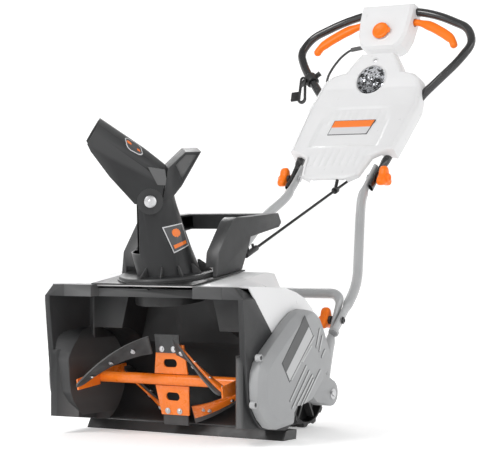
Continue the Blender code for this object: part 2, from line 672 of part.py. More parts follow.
def deflector_bolt():
    head = [(-0.0735, 0), (-0.0735, 0.008), (-0.066, 0.0135), (-0.0652, 0.0135), (-0.0652, 0.0035), (0.0652, 0.0035),
            (0.0652, 0.0135), (0.0665, 0.0135), (0.0685, 0.0095), (0.0700, 0.0)]
    axis = TILT @ CHUTE_ACROSS
    return turned("deflector_bolt", head, in_chute(HINGE_E, 0, HINGE_H), axis, 20, "steel")


# ---------------------------------------------------------------- wheels and frame


def wheel(name, side):
    """A hollow plastic wheel with twelve curved treads."""
    rings = []
    treads = 12
    for x, twist, grow in ((WHEEL_IN, 0, 0.997), (WHEEL_IN + 0.012, 7, 1), (WHEEL_OUT - 0.012, 7, 1),
                           (WHEEL_OUT, 0, 0.997)):
        ring = []
        for k in range(treads):
            for share, radius in ((0.0, 0.077), (0.55, 0.077), (0.62, WHEEL_R), (0.93, WHEEL_R)):
                a = 2 * math.pi * (k + share) / treads + math.radians(twist)
                r = radius * grow
                ring.append((side * x, AXLE_Y + r * math.cos(a), AXLE_Z + r * math.sin(a)))
        rings.append(ring)
    body = loft(name, rings, "black")
    for x, far in ((WHEEL_IN - 0.002, WHEEL_IN + 0.024), (WHEEL_OUT - 0.024, WHEEL_OUT + 0.002)):
        dish = [(side * x, 0.018), (side * x, 0.070), (side * far, 0.070), (side * far, 0.018)]
        cut(body, turned("dish", dish, (0, AXLE_Y, AXLE_Z), (1, 0, 0), 24))
    cut(body, rod("bore", (-0.2, AXLE_Y, AXLE_Z), (0.2, AXLE_Y, AXLE_Z), 0.0057, 12))
    return pivot(body, (side * (WHEEL_IN + WHEEL_OUT) / 2, AXLE_Y, AXLE_Z))


def wheel_bracket(name, side):
    hub = arc(AXLE_Y, AXLE_Z, 0.030, 62, -125, 12)
    outline = hub + [(0.36, 0.068), (0.336, 0.085), (0.336, 0.157), (0.36, 0.146)]
    low, high = sorted((side * ARM_IN, side * ARM_OUT))
    arm = prism(name, outline, "x", low, high, "grey")
    hollow = [(0.345, 0.090), (0.372, 0.078), (0.393, 0.075), (0.393, 0.118), (0.345, 0.145)]
    cut(arm, prism("hollow", hollow, "x", *sorted((side * (ARM_IN - 0.001), side * (ARM_OUT - 0.004)))))
    cut(arm, rod("bore", (side * 0.18, AXLE_Y, AXLE_Z), (side * 0.25, AXLE_Y, AXLE_Z), 0.0055, 12))
    return cut(arm, rod("socket", leg_point(side, 0.0), leg_point(side, 0.1), TUBE_R + 0.0005, 16))


LEG_FOOT = Vector((0.213, 0.428, 0.1005))
LEG_KNEE = Vector((0.1975, 0.482, 0.192))


def leg_point(side, distance):
    point = LEG_FOOT + (LEG_KNEE - LEG_FOOT).normalized() * distance
    return Vector((side * point.x, point.y, point.z))


def u_frame():
    right = [LEG_FOOT + (LEG_KNEE - LEG_FOOT).normalized() * 0.0006, LEG_KNEE, (0.1935, 0.517, 0.2465),
             (0.190, 0.552, 0.308)]
    right = [tuple(p) for p in right]
    route = smooth(right + mirrored(right)[::-1], 0.030, 4)
    flats = [(0.1935, 0.517, 0.2465), (-0.1935, 0.517, 0.2465)]
    frame = tube("u_frame", route, TUBE_R, 0.0015, 8, "tube", flats)
    return cut(frame, rod("bores", (-0.3, *LOWER_PIVOT[1:]), (0.3, *LOWER_PIVOT[1:]), 0.0043))


def lower_handle(name, side):
    route = [(0.2065, 0.486, 0.2195), (0.2065, 0.517, 0.2465), (0.200, 0.612, 0.327), (0.137, 0.741, 0.498),
             (0.1095, 0.800, 0.545), (0.1085, 0.849, 0.5915), (0.1085, 0.878, 0.619)]
    route = [(side * x, y, z) for x, y, z in route]
    flats = [(side * 0.2065, *LOWER_PIVOT[1:]), (side * 0.1085, *UPPER_PIVOT[1:])]
    made = tube(name, smooth(route, 0.032, 3), TUBE_R, 0.0015, 8, "tube", flats)
    cut(made, rod("low", (side * 0.18, *LOWER_PIVOT[1:]), (side * 0.23, *LOWER_PIVOT[1:]), 0.0043))
    cut(made, rod("high", (side * 0.09, *UPPER_PIVOT[1:]), (side * 0.118, *UPPER_PIVOT[1:]), 0.0043))
    return pivot(made, LOWER_PIVOT)


UPPER_ROUTE = [
    (0.1225, 0.822, 0.5655), (0.1225, 0.849, 0.5915), (0.134, 0.950, 0.692), (0.1415, 1.050, 0.803),
    (0.232, 1.098, 0.900), (0.262, 1.124, 0.948), (0.238, 1.150, 0.992), (0.148, 1.166, 1.030),
    (0.078, 1.168, 1.047),
]


def upper_route():
    return smooth(UPPER_ROUTE + mirrored(UPPER_ROUTE)[::-1], 0.035, 2)


def upper_handle():
    flats = [(0.1225, *UPPER_PIVOT[1:]), (-0.1225, *UPPER_PIVOT[1:])]
    made = tube("upper_handle", upper_route(), HANDLE_R, 0.0015, 8, "gloss_black", flats, 0.034)
    cut(made, rod("bores", (-0.2, *UPPER_PIVOT[1:]), (0.2, *UPPER_PIVOT[1:]), 0.0043))
    return pivot(made, UPPER_PIVOT)


def handle_cutter():
    return tube("handle_cutter", upper_route(), HANDLE_R + 0.0009, 0, 8)


def star_knob(name, centre, side, inner, outer, reach, head):
    """A three-lobed clamping knob with its bolt; inner, outer and head are distances from the machine's middle."""
    ring = []
    for k in range(24):
        a = 2 * math.pi * k / 24 + math.radians(90)
        r = reach * (0.66 + 0.34 * (0.5 + 0.5 * math.cos(3 * a)) ** 1.5)
        ring.append((centre.y + r * math.cos(a), centre.z + r * math.sin(a)))
    way = 1 if outer > inner else -1

    def disc(start, end, radius, sides=14):
        return rod("disc", (side * start, centre.y, centre.z), (side * end, centre.y, centre.z), radius, sides)

    body = prism(name, ring, "x", *sorted((side * inner, side * outer)), "orange")
    add(body, disc(outer - way * 0.002, outer + way * 0.008, 0.009, 16), disc(inner + way * 0.002, inner - way * 0.006, 0.010, 16))
    add(body, disc(inner + way * 0.004, head, 0.0038, 12), disc(head, head - way * 0.004, 0.0080))
    return pivot(body, (side * (inner + outer) / 2, centre.y, centre.z))


def joints_hardware(side, hand):
    star_knob("lower_knob_" + hand, LOWER_PIVOT, side, 0.1780, 0.1580, 0.030, 0.2135)
    star_knob("upper_knob_" + hand, UPPER_PIVOT, side, 0.1360, 0.1560, 0.030, 0.1015)


# ---------------------------------------------------------------- console


LOW_N = Vector((0, -math.sin(LOW_SLOPE), math.cos(LOW_SLOPE)))
LOW_S = Vector((0, math.cos(LOW_SLOPE), math.sin(LOW_SLOPE)))
HIGH_N = Vector((0, -math.sin(HIGH_SLOPE), math.cos(HIGH_SLOPE)))
HIGH_S = Vector((0, math.cos(HIGH_SLOPE), math.sin(HIGH_SLOPE)))


def on_low(x, s, n):
    return UPPER_PIVOT + Vector((x, 0, 0)) + LOW_S * s + LOW_N * n


def on_high(x, s, n):
    return HIGH_ORIGIN + Vector((x, 0, 0)) + HIGH_S * s + HIGH_N * n


def console_stations():
    """(place function, distance up the slope, half width, front face, back edge) for each section of the shield."""
    low = [(-0.024, 0.058, 0.024, 0.009), (-0.012, 0.084, 0.027, 0.0125), (0.055, 0.0985, 0.028, 0.0125),
           (0.068, 0.120, 0.029, 0.0135), (0.080, 0.1535, 0.029, -0.011), (0.160, 0.159, 0.029, -0.011),
           (0.245, 0.164, 0.028, -0.011)]
    high = [(0.034, 0.153, 0.024, -0.014), (0.060, 0.143, 0.023, -0.014), (0.074, 0.126, 0.022, -0.012),
            (0.083, 0.088, 0.022, -0.010), (0.108, 0.075, 0.021, -0.008), (0.140, 0.053, 0.019, -0.006)]
    return [(on_low, *row) for row in low] + [(on_high, *row) for row in high]


def console_shield():
    rings = []
    for place, s, half, front, back in console_stations():
        outer, inner = [], []
        for x, n in ((1.0, back), (1.0, front - 0.012), (0.93, front - 0.004), (0.78, front)):
            outer.append((x * half, n))
        for x, n in ((0.78, front - 0.003), (0.93, front - 0.0072), (1.0, front - 0.014), (1.0, back)):
            inner.append((x * half - 0.003, n))
        loop = outer + [(-x, n) for x, n in reversed(outer)] + [(-x, n) for x, n in reversed(inner)] + inner
        rings.append([place(x, s, n) for x, n in loop])
    shell = loft("console_shield", rings, "white")
    lamp = on_high(0, HEADLIGHT_S, 0)
    cut(shell, rod("lamp_hole", lamp, lamp + HIGH_N * 0.05, 0.0455, 32))
    for side in (1, -1):
        leg = [Vector((side * p[0], p[1], p[2])) for p in upper_route() if p[0] > 0 and 0.60 < p[2] < 0.93]
        cut(shell, tube("leg", leg, HANDLE_R + 0.0019, 0, 8))
    return shell


HEADLIGHT_S = 0.060


def headlight():
    base = on_high(0, HEADLIGHT_S, 0.0)
    dish = [(0.004, 0.0), (0.004, 0.024), (0.0195, 0.0445), (0.0225, 0.0445), (0.0225, 0.0415), (0.0185, 0.0405),
            (0.0075, 0.0225), (0.0075, 0.0)]
    turned("headlight_reflector", dish, base, HIGH_N, 28, "chrome")
    glass = [(0.0190, 0.0), (0.0190, 0.0395), (0.0222, 0.0410), (0.0245, 0.030), (0.0252, 0.0)]
    turned("headlight_lens", glass, base, HIGH_N, 28, "lens")


BOX_OUTLINE = [
    (-0.079, 0.292), (0.079, 0.292), (0.079, 0.250), (0.074, 0.200), (0.062, 0.168), (0.045, 0.156), (-0.045, 0.156),
    (-0.062, 0.168), (-0.074, 0.200), (-0.079, 0.250),
]
BUTTON_S = 0.206


def switch_box():
    """Two white halves around the handle bar, split on the bar's middle."""
    split = -0.0115
    for name, stations in (
        ("switch_box_front", ((split + GAP / 2, 1.0), (0.012, 0.985), (0.021, 0.90))),
        ("switch_box_rear", ((split - GAP / 2, 1.0), (-0.034, 0.985), (-0.044, 0.90))),
    ):
        centre = Vector((0, 0.224))
        rings = [[on_high(x * k, centre.y + (s - centre.y) * k, n) for x, s in BOX_OUTLINE] for n, k in stations]
        half = loft(name, rings, "white")
        sign = 1 if stations[-1][0] > 0 else -1
        inner = ((split - sign * 0.005, 0.945), (stations[1][0], 0.94), (stations[2][0] - sign * 0.0035, 0.85))
        hollow = [[on_high(x * k, centre.y + (s - centre.y) * k, n) for x, s in BOX_OUTLINE] for n, k in inner]
        cut(half, loft("hollow", hollow), handle_cutter())
        if sign > 0:
            start = on_high(0, BUTTON_S, 0.0)
            cut(half, rod("button_hole", start, start + HIGH_N * 0.05, 0.0185, 24))
        for side in (-1, 1):
            cut(half, tube("lever_slot", smooth(lever_route(side), 0.02, 3), LEVER_R + 0.0025, 0, 10))


LEVER_N = -0.0115
LEVER_R = 0.0095


def lever_route(side):
    points = [(0.060, 0.246), (0.085, 0.246), (0.128, 0.232), (0.176, 0.204), (0.200, 0.186), (0.211, 0.162)]
    return [on_high(side * x, s, LEVER_N) for x, s in points]


def lever(name, side):
    made = tube(name, smooth(lever_route(side), 0.02, 3), LEVER_R, 0, 10, "orange")
    return pivot(made, on_high(side * 0.062, 0.246, LEVER_N))


def start_button():
    base = on_high(0, BUTTON_S, 0.0)
    cap = [(0.010, 0.0), (0.010, 0.0178), (0.0246, 0.0178), (0.0246, 0.0235), (0.0286, 0.0235), (0.0314, 0.0195),
           (0.0324, 0.0)]
    return pivot(turned("start_button", cap, base, HIGH_N, 24, "orange"), base + HIGH_N * 0.0246)


# ---------------------------------------------------------------- crank rod, hook and cable


ROD_LOW = Vector((0.045, 0.235, 0.3815))
ROD_JOINT = Vector((0.050, 0.352, 0.4015))
ROD_TOP = Vector((0.030, 0.938, 0.6105))
ROD_WAY = (ROD_TOP - ROD_JOINT).normalized()


def crank():
    worm_end = ROD_JOINT - ROD_WAY * 0.0055
    worm = rod("chute_worm", ROD_LOW, worm_end, 0.0033, 10, "black")
    add(worm, rod("gear", ROD_LOW, ROD_LOW + (worm_end - ROD_LOW).normalized() * 0.030, 0.009, 14))
    pivot(worm, ROD_LOW)
    sleeve = [(0.0, 0.0), (0.0, 0.0070), (0.052, 0.0070), (0.052, 0.0)]
    start = ROD_JOINT - ROD_WAY * 0.0035
    made = turned("crank_coupling", sleeve, start, ROD_WAY, 14, "black")
    across = ROD_WAY.cross(Vector((1, 0, 0))).normalized()
    for t in (0.014, 0.038):
        foot = start + ROD_WAY * t
        add(made, rod("screw", foot, foot - across * 0.015, 0.0032, 10))
    pivot(made, ROD_JOINT)
    begin = ROD_JOINT + ROD_WAY * 0.049
    shaft = rod("crank_rod", begin, ROD_TOP, 0.0035, 10, "black")
    grip_root = ROD_TOP - ROD_WAY * 0.004
    arm_end = grip_root - Vector((1, 0, 0)).cross(ROD_WAY) * -0.045
    add(shaft, rod("arm", grip_root, arm_end, 0.0045, 10))
    add(shaft, rod("pin", arm_end, arm_end + ROD_WAY * 0.046, 0.0030, 10))
    pivot(shaft, ROD_TOP)
    grip = [(0.006, 0.0034), (0.006, 0.0090), (0.020, 0.0110), (0.043, 0.0085), (0.043, 0.0034)]
    pivot(turned("crank_grip", grip, arm_end, ROD_WAY, 14, "black"), arm_end)
    eye = ROD_TOP - ROD_WAY * 0.150
    bracket = rod("rod_bracket", eye - ROD_WAY * 0.006, eye + ROD_WAY * 0.006, 0.0085, 14, "black")
    top = eye + Vector((0, 0.010, 0.0265))
    add(bracket, rod("stem", eye + Vector((0, 0, 0.004)), top, 0.0042, 10))
    cut(bracket, rod("bore", eye - ROD_WAY * 0.01, eye + ROD_WAY * 0.01, 0.0040, 12))


def along_handle(share):
    """A point on the left leg of the upper handle between its flare's ends."""
    return Vector(mirrored([UPPER_ROUTE[3]])[0]).lerp(Vector(mirrored([UPPER_ROUTE[4]])[0]), share)


def cord_hook():
    centre = along_handle(0.68)
    way = (along_handle(1) - along_handle(0)).normalized()
    ring = [(-0.012, HANDLE_R + 0.0004), (-0.012, 0.0175), (0.012, 0.0175), (0.012, HANDLE_R + 0.0004)]
    clamp = turned("cord_hook_clamp", ring, centre, way, 18, "black")
    out = HIGH_N.cross(way).normalized()
    out = -out if out.x < 0 else out
    add(clamp, rod("screw", centre + out * 0.0155, centre + out * 0.030, 0.0070, 12))
    pin = centre - out * 0.0160
    add(clamp, rod("lug", pin - HIGH_N * 0.004, pin + HIGH_N * 0.018, 0.0045, 12))
    eye = pin + HIGH_N * 0.0145
    down = (-HIGH_S * 0.92 + out * 0.18).normalized()
    across = HIGH_N.cross(down)

    def flat(points, low, high):
        return [[eye + down * a + across * b + HIGH_N * n for a, b in points] for n in (low, high)]

    loop = arc(0, 0, 0.0085, 90, 270, 8) + arc(0.062, 0, 0.012, -90, 90, 8)
    hook = loft("cord_hook", flat(loop, 0.004, 0.010), "black")
    slot = arc(0.024, 0, 0.0045, 90, 270, 6) + arc(0.060, 0, 0.0065, -90, 90, 6)
    cut(hook, loft("slot", flat(slot, 0.0, 0.014)))
    side = 1 if across.x < 0 else -1
    finger = [(0.036, side * 0.010), (0.062, side * 0.0105), (0.060, side * 0.034), (0.034, side * 0.032)]
    add(hook, loft("finger", flat(finger, 0.0045, 0.0095)))
    cut(hook, rod("bore", eye - HIGH_N * 0.02, eye + HIGH_N * 0.02, 0.0049, 12))
    pivot(hook, eye)


CABLE_ROUTE = [
    (-0.088, 1.146, 0.956), (-0.112, 1.137, 0.950), (-0.134, 1.125, 0.931), (-0.149, 1.110, 0.905),
    (-0.155, 1.092, 0.880), (-0.152, 1.078, 0.862),
]


def control_cable():
    """The cable from the switch box into the shield, in its sleeve at the box."""
    route = [Vector(p) for p in CABLE_ROUTE]
    cable = tube("control_cable", smooth(route, 0.012, 3), 0.0032, 0, 8, "rubber")
    add(cable, rod("sleeve", route[0] + Vector((0.008, 0.002, 0)), route[0].lerp(route[1], 0.9), 0.0058, 12))
    return cable


# ---------------------------------------------------------------- assembly


def clear_scene():
    for obj in list(bpy.data.objects):
        bpy.data.objects.remove(obj)


def build():
    scoop_housing()
    scraper_bar()
    chute_base_plate()
    carry_handle()
    motor_cover()
    side_cover("belt_cover", 1, 0.034, 0.013, "grey")
    side_cover("left_side_cover", -1, 0.012, 0.006, "grey")
    drive()
    auger()
    chute()
    chute_deflector()
    deflector_bolt()
    both_sides(wheel, "wheel")
    both_sides(wheel_bracket, "wheel_bracket")
    rod("axle", (-0.241, AXLE_Y, AXLE_Z), (0.241, AXLE_Y, AXLE_Z), 0.005, 12, "steel")
    u_frame()
    both_sides(lower_handle, "lower_handle")
    upper_handle()
    for side, hand in ((1, "right"), (-1, "left")):
        joints_hardware(side, hand)
    console_shield()
    headlight()
    switch_box()
    both_sides(lever, "lever")
    start_button()
    crank()
    cord_hook()
    control_cable()


def to_frame():
    """Slides the machine so that the middle of the scraper's sole is the origin."""
    for obj in bpy.data.objects:
        obj.location.y -= (SCRAPER_FRONT + SOLE_BACK) / 2


clear_scene()
build()
to_frame()
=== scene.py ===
import json
import random
from math import copysign, cos, hypot, pi, radians, sin, sqrt

import bmesh
import bpy
from mathutils import Matrix, Vector
from mathutils.bvhtree import BVHTree


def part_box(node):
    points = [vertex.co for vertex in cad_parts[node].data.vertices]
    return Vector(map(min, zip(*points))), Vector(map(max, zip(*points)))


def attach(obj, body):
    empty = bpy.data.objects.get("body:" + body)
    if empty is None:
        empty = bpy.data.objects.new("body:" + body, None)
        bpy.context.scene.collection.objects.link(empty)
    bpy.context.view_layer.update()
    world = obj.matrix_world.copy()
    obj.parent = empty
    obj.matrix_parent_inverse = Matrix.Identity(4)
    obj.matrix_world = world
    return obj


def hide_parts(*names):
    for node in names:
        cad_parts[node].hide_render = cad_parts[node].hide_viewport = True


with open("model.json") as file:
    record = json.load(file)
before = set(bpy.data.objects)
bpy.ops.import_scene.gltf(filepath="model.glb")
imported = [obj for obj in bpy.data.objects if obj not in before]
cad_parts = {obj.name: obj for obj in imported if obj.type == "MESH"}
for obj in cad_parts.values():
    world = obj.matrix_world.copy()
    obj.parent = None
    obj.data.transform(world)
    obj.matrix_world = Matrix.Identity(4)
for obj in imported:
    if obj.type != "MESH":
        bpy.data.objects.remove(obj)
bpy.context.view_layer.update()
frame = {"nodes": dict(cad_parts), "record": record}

FRONT = -0.187  # the scoop's front edge; lengths back along the machine are measured from it

AUGER = Vector((0, -0.067, 0.125))
AXLE = Vector((0, 0.238, 0.084))
LOWER_PIVOT = Vector((0, 0.330, 0.2465))
UPPER_PIVOT = Vector((0, 0.662, 0.5915))
COVER_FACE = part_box("belt_cover")[1][0]
SIDES = (1, "right"), (-1, "left")

rng = random.Random(7)


# ------ materials


class Shader:
    """A Principled material with a short way to set its sockets and to add and join nodes."""

    def __init__(self, name, colour, rough, metal=0.0, coat=0.0, specular=0.5):
        self.material = bpy.data.materials.new(name)
        self.material.use_nodes = True
        self.tree = self.material.node_tree
        self.main = self.tree.nodes["Principled BSDF"]
        self.place = self.add("ShaderNodeTexCoord").outputs["Object"]
        self.put({"Base Color": (*colour, 1), "Roughness": rough, "Metallic": metal, "Coat Weight": coat,
                  "Coat Roughness": 0.12, "Specular IOR Level": specular})

    def put(self, values):
        for socket, value in values.items():
            self.main.inputs[socket].default_value = value

    def add(self, kind, **values):
        node = self.tree.nodes.new(kind)
        for key, value in values.items():
            if key in node.inputs:
                node.inputs[key].default_value = value
            else:
                setattr(node, key, value)
        return node

    def join(self, output, socket):
        self.tree.links.new(output, socket)

    def noise(self, scale, detail=4.0, stretch=None):
        node = self.add("ShaderNodeTexNoise", Scale=scale, Detail=detail)
        place = self.place
        if stretch:
            squeeze = self.add("ShaderNodeVectorMath", operation="MULTIPLY")
            self.join(place, squeeze.inputs[0])
            squeeze.inputs[1].default_value = stretch
            place = squeeze.outputs[0]
        self.join(place, node.inputs["Vector"])
        return node.outputs["Fac"]

    def spread(self, source, low, high, first, last):
        """Maps source from low..high to first..last."""
        node = self.add("ShaderNodeMapRange", **{"From Min": low, "From Max": high, "To Min": first, "To Max": last})
        self.join(source, node.inputs["Value"])
        return node.outputs["Result"]

    def mixed(self, share, first, last):
        node = self.add("ShaderNodeMix", data_type="RGBA")
        self.join(share, node.inputs[0])
        for slot, value in ((node.inputs[6], first), (node.inputs[7], last)):
            if isinstance(value, bpy.types.NodeSocket):
                self.join(value, slot)
            else:
                slot.default_value = (*value, 1)
        return node.outputs[2]

    def edges(self, low=0.52, high=0.62):
        """How sharp and proud the surface is, for wear on edges."""
        return self.spread(self.add("ShaderNodeNewGeometry").outputs["Pointiness"], low, high, 0.0, 1.0)

    def paint(self, output):
        self.join(output, self.main.inputs["Base Color"])

    def roughen(self, scale, detail, low, high):
        """Patches of roughness between low and high."""
        self.join(self.spread(self.noise(scale, detail), 0.3, 0.7, low, high), self.main.inputs["Roughness"])

    def bump(self, height, strength, distance, under=None):
        node = self.add("ShaderNodeBump", Strength=strength, Distance=distance)
        self.join(height, node.inputs["Height"])
        if under is not None:
            self.join(under, node.inputs["Normal"])
        self.join(node.outputs["Normal"], self.main.inputs["Normal"])
        return node.outputs["Normal"]


def lighter(colour, share):
    return tuple(min(1.0, c + (1 - c) * share) for c in colour)


def darker(colour, share):
    return tuple(c * (1 - share) for c in colour)


def moulded(name, colour, rough, grain=0.12, worn=0.10, dirt=0.10, coat=0.0, specular=0.5):
    """Injection-moulded plastic: eroded grain, faint flow marks, scuffed edges."""
    shader = Shader(name, colour, rough, coat=coat, specular=specular)
    flow = shader.spread(shader.noise(7, 3, (1, 1, 0.35)), 0.3, 0.7, 0.0, 1.0)
    body = shader.mixed(flow, darker(colour, dirt), lighter(colour, dirt * 0.12))
    shader.paint(shader.mixed(shader.edges(), body, lighter(colour, worn)))
    shader.roughen(38, 5, rough - 0.06, rough + 0.08)
    cells = shader.add("ShaderNodeTexVoronoi", Scale=1400.0)
    shader.join(shader.place, cells.inputs["Vector"])
    coarse = shader.bump(shader.noise(26, 3), 0.10, 0.0006)
    shader.bump(cells.outputs["Distance"], grain, 0.0004, coarse)
    return shader.material


def coated(name, colour, rough, peel=0.10, coat=0.3, chips=0.0):
    """Powder-coated steel: orange peel, slight tone changes, thin spots on the edges."""
    shader = Shader(name, colour, rough, coat=coat)
    tone = shader.spread(shader.noise(9, 3), 0.3, 0.7, 0.0, 1.0)
    body = shader.mixed(tone, darker(colour, 0.08), lighter(colour, 0.02))
    ragged = shader.add("ShaderNodeMath", operation="MULTIPLY")
    shader.join(shader.edges(0.53, 0.60), ragged.inputs[0])
    shader.join(shader.spread(shader.noise(120, 4), 0.5, 0.62, 0.0, 1.0), ragged.inputs[1])
    shader.paint(shader.mixed(ragged.outputs[0], body, lighter(colour, chips)))
    shader.roughen(45, 4, rough - 0.05, rough + 0.07)
    shader.bump(shader.noise(520, 2), peel, 0.0003)
    return shader.material


def bare_metal(name, colour, rough, scale=180):
    """Plated or brushed steel with fine turning marks and dull spots."""
    shader = Shader(name, colour, rough, metal=1.0)
    marks = shader.noise(scale, 4, (1, 5, 5))
    shader.paint(shader.mixed(marks, darker(colour, 0.25), lighter(colour, 0.10)))
    shader.roughen(60, 4, rough - 0.06, rough + 0.12)
    shader.bump(marks, 0.12, 0.0003)
    return shader.material


def rubbery(name, colour):
    """Dense rubber with a powdery bloom and fine pits."""
    shader = Shader(name, colour, 0.62, specular=0.35)
    bloom = shader.spread(shader.noise(30, 5), 0.42, 0.72, 0.0, 1.0)
    body = shader.mixed(bloom, colour, lighter(colour, 0.035))
    shader.paint(shader.mixed(shader.edges(), body, lighter(colour, 0.10)))
    shader.roughen(70, 4, 0.55, 0.72)
    shader.bump(shader.noise(900, 3), 0.22, 0.0004)
    return shader.material


def mirror_facets(name, value):
    """Vacuum-plated reflector; a low value stands for a facet that faces away from the light."""
    shader = Shader(name, (value, value, value * 1.02), 0.06, metal=1.0)
    shader.roughen(90, 3, 0.04, 0.12)
    return shader.material


def clear_plastic():
    shader = Shader("lens_clear", (0.97, 0.98, 0.99), 0.03)
    shader.put({"Transmission Weight": 1.0, "IOR": 1.05})
    shader.bump(shader.noise(300, 2), 0.03, 0.0002)
    return shader.material


def sticker(name, colour):
    return moulded(name, colour, 0.35, grain=0.03, worn=0.0, coat=0.3)


def studio_white(name, value):
    shader = Shader(name, (value, value, value), 0.9, specular=0.1)
    shader.paint(shader.mixed(shader.noise(1.5, 2), (value,) * 3, (value * 0.99,) * 3))
    shader.put({"Emission Color": (1, 1, 1, 1), "Emission Strength": 0.32})
    return shader.material


CHARCOAL = moulded("charcoal_plastic", (0.015, 0.0155, 0.0165), 0.40, grain=0.14, specular=0.32)
BLACK = moulded("black_plastic", (0.0055, 0.0055, 0.006), 0.36, worn=0.06, specular=0.30)
WHITE = moulded("white_plastic", (0.74, 0.74, 0.745), 0.33, grain=0.05, worn=0.0, dirt=0.03, coat=0.25)
GREY = moulded("grey_plastic", (0.30, 0.305, 0.31), 0.42, grain=0.10, worn=0.22, dirt=0.05)
ORANGE = moulded("orange_plastic", (0.97, 0.185, 0.0008), 0.34, grain=0.05, worn=0.02, dirt=0.06, coat=0.05,
                 specular=0.25)
ORANGE_STEEL = coated("orange_coat", (0.95, 0.205, 0.002), 0.30, coat=0.25, chips=0.12)
TUBE = coated("grey_coat", (0.40, 0.405, 0.41), 0.33, coat=0.4, chips=0.20)
GLOSS_BLACK = coated("black_coat", (0.006, 0.006, 0.0065), 0.16, coat=0.4, peel=0.05, chips=0.04)
STEEL = bare_metal("zinc_steel", (0.66, 0.66, 0.67), 0.28)
DARK_STEEL = bare_metal("dark_screw", (0.05, 0.05, 0.052), 0.38)
RUBBER = rubbery("rubber", (0.018, 0.018, 0.019))
CHROME = mirror_facets("reflector_chrome", 0.92)
SHADED_CHROME = mirror_facets("reflector_shaded", 0.16)
LENS = clear_plastic()
# Dark label print; the same colour paints the shadow lines round the belt cover's ribs.
LABEL_AND_SHADOW_DARK = sticker("label_and_shadow_dark", (0.055, 0.056, 0.058))
LABEL_LIGHT = sticker("label_light", (0.62, 0.62, 0.63))
LABEL_ORANGE = sticker("label_orange", (0.90, 0.19, 0.006))

LOOKS = {
    "charcoal": CHARCOAL, "black": BLACK, "white": WHITE, "grey": GREY, "orange": ORANGE, "orange_steel": ORANGE_STEEL,
    "steel": STEEL, "tube": TUBE, "gloss_black": GLOSS_BLACK, "rubber": RUBBER, "chrome": CHROME, "lens": LENS,
}
SLOTS = {part["node"]: part["material_slot"] for part in frame["record"]["subparts"]}
BODY_OF = {node: body for body, nodes in frame["record"]["behaviour"]["bodies"].items() for node in nodes}

for node_name, node in frame["nodes"].items():
    node.data.materials.clear()
    node.data.materials.append(LOOKS[SLOTS[node_name]])


# ------ mesh tools


def at(x, back, z):
    """A point by its distance behind the scoop's front edge."""
    return Vector((x, FRONT + back, z))


def step(value, low, high):
    """A smooth rise from 0 at low to 1 at high."""
    t = min(1.0, max(0.0, (value - low) / (high - low)))
    return t * t * (3 - 2 * t)


def inside(value, low, high, soft):
    """1 between low and high, falling to 0 over soft outside them."""
    return step(value, low - soft, low) * (1 - step(value, high, high + soft))


def angles(count, start=0.0):
    """The angles of count points round a circle; start is a part of one step."""
    return [2 * pi * (k + start) / count for k in range(count)]


def linked(name, data):
    """A new object in the scene."""
    thing = bpy.data.objects.new(name, data)
    bpy.context.scene.collection.objects.link(thing)
    return thing


def as_mesh(name, work):
    """Turns work, with its faces looking outwards, into a mesh, and frees it."""
    bmesh.ops.recalc_face_normals(work, faces=work.faces)
    mesh = bpy.data.meshes.new(name)
    work.to_mesh(mesh)
    work.free()
    return mesh


def finish_mesh(name, work, look, body, nodes=(), sharp=38):
    """Turns work into a piece that rides on body and replaces the nodes."""
    mesh = as_mesh(name, work)
    mesh.shade_smooth()
    mesh.set_sharp_from_angle(angle=radians(sharp))
    mesh.materials.append(look)
    piece = linked(name, mesh)
    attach(piece, body)
    if nodes:
        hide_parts(*nodes)
    return piece


def bent_edges(work, angle):
    """The edges where two faces meet at more than angle degrees."""
    return [e for e in work.edges if len(e.link_faces) == 2 and e.calc_face_angle(0) > radians(angle)]


def bevelled(work, edges, width, segments):
    bmesh.ops.bevel(work, geom=edges, offset=width, segments=segments, profile=0.6, affect="EDGES",
                    clamp_overlap=True)


def refined(node, width, segments=2, angle=32, sharp=42, flat=2.0):
    """The node with its edges rounded and its curves shaded smooth."""
    work = bmesh.new()
    work.from_mesh(frame["nodes"][node].data)
    bmesh.ops.remove_doubles(work, verts=work.verts, dist=0.00002)
    bmesh.ops.dissolve_limit(work, angle_limit=radians(flat), verts=work.verts, edges=work.edges)
    if width:
        bevelled(work, bent_edges(work, angle), width, segments)
    finish_mesh(node + "_fine", work, LOOKS[SLOTS[node]], BODY_OF[node], (node,), sharp)


def rings_into(work, rings, close=True, capped=True):
    """Skins a list of equal rings."""
    made = [[work.verts.new(p) for p in ring] for ring in rings]
    count = len(made[0])
    for a, b in zip(made, made[1:]):
        for i in range(count if close else count - 1):
            j = (i + 1) % count
            work.faces.new((a[i], a[j], b[j], b[i]))
    if capped:
        work.faces.new(made[0][::-1])
        work.faces.new(made[-1])
    return made


def frames_along(route):
    """(point, first side, second side) along the route without twisting."""
    first = Vector((1, 0, 0))
    ahead = (route[1] - route[0]).normalized()
    if abs(ahead.x) > 0.9:
        first = Vector((0, 0, 1))
    out = []
    for i, point in enumerate(route):
        ahead = (route[min(i + 1, len(route) - 1)] - route[max(i - 1, 0)]).normalized()
        first = (first - ahead * first.dot(ahead)).normalized()
        out.append((point, first, ahead.cross(first)))
    return out


def rounded_route(points, reach, steps=8):
    """The route through points, with each corner rounded from reach before it."""
    points = [Vector(p) for p in points]
    route = [points[0]]
    for before, corner, after in zip(points, points[1:], points[2:]):
        cut = min(reach, 0.45 * (corner - before).length, 0.45 * (after - corner).length)
        a = corner + (before - corner).normalized() * cut
        b = corner + (after - corner).normalized() * cut
        for i in range(steps + 1):
            t = i / steps
            route.append(a * (1 - t) ** 2 + corner * 2 * t * (1 - t) + b * t * t)
    return route + [points[-1]]


def evened(route, gap):
    """The same route with points about gap apart."""
    out = [route[0]]
    for a, b in zip(route, route[1:]):
        parts = max(1, round((b - a).length / gap))
        out += [a.lerp(b, k / parts) for k in range(1, parts + 1)]
    return out


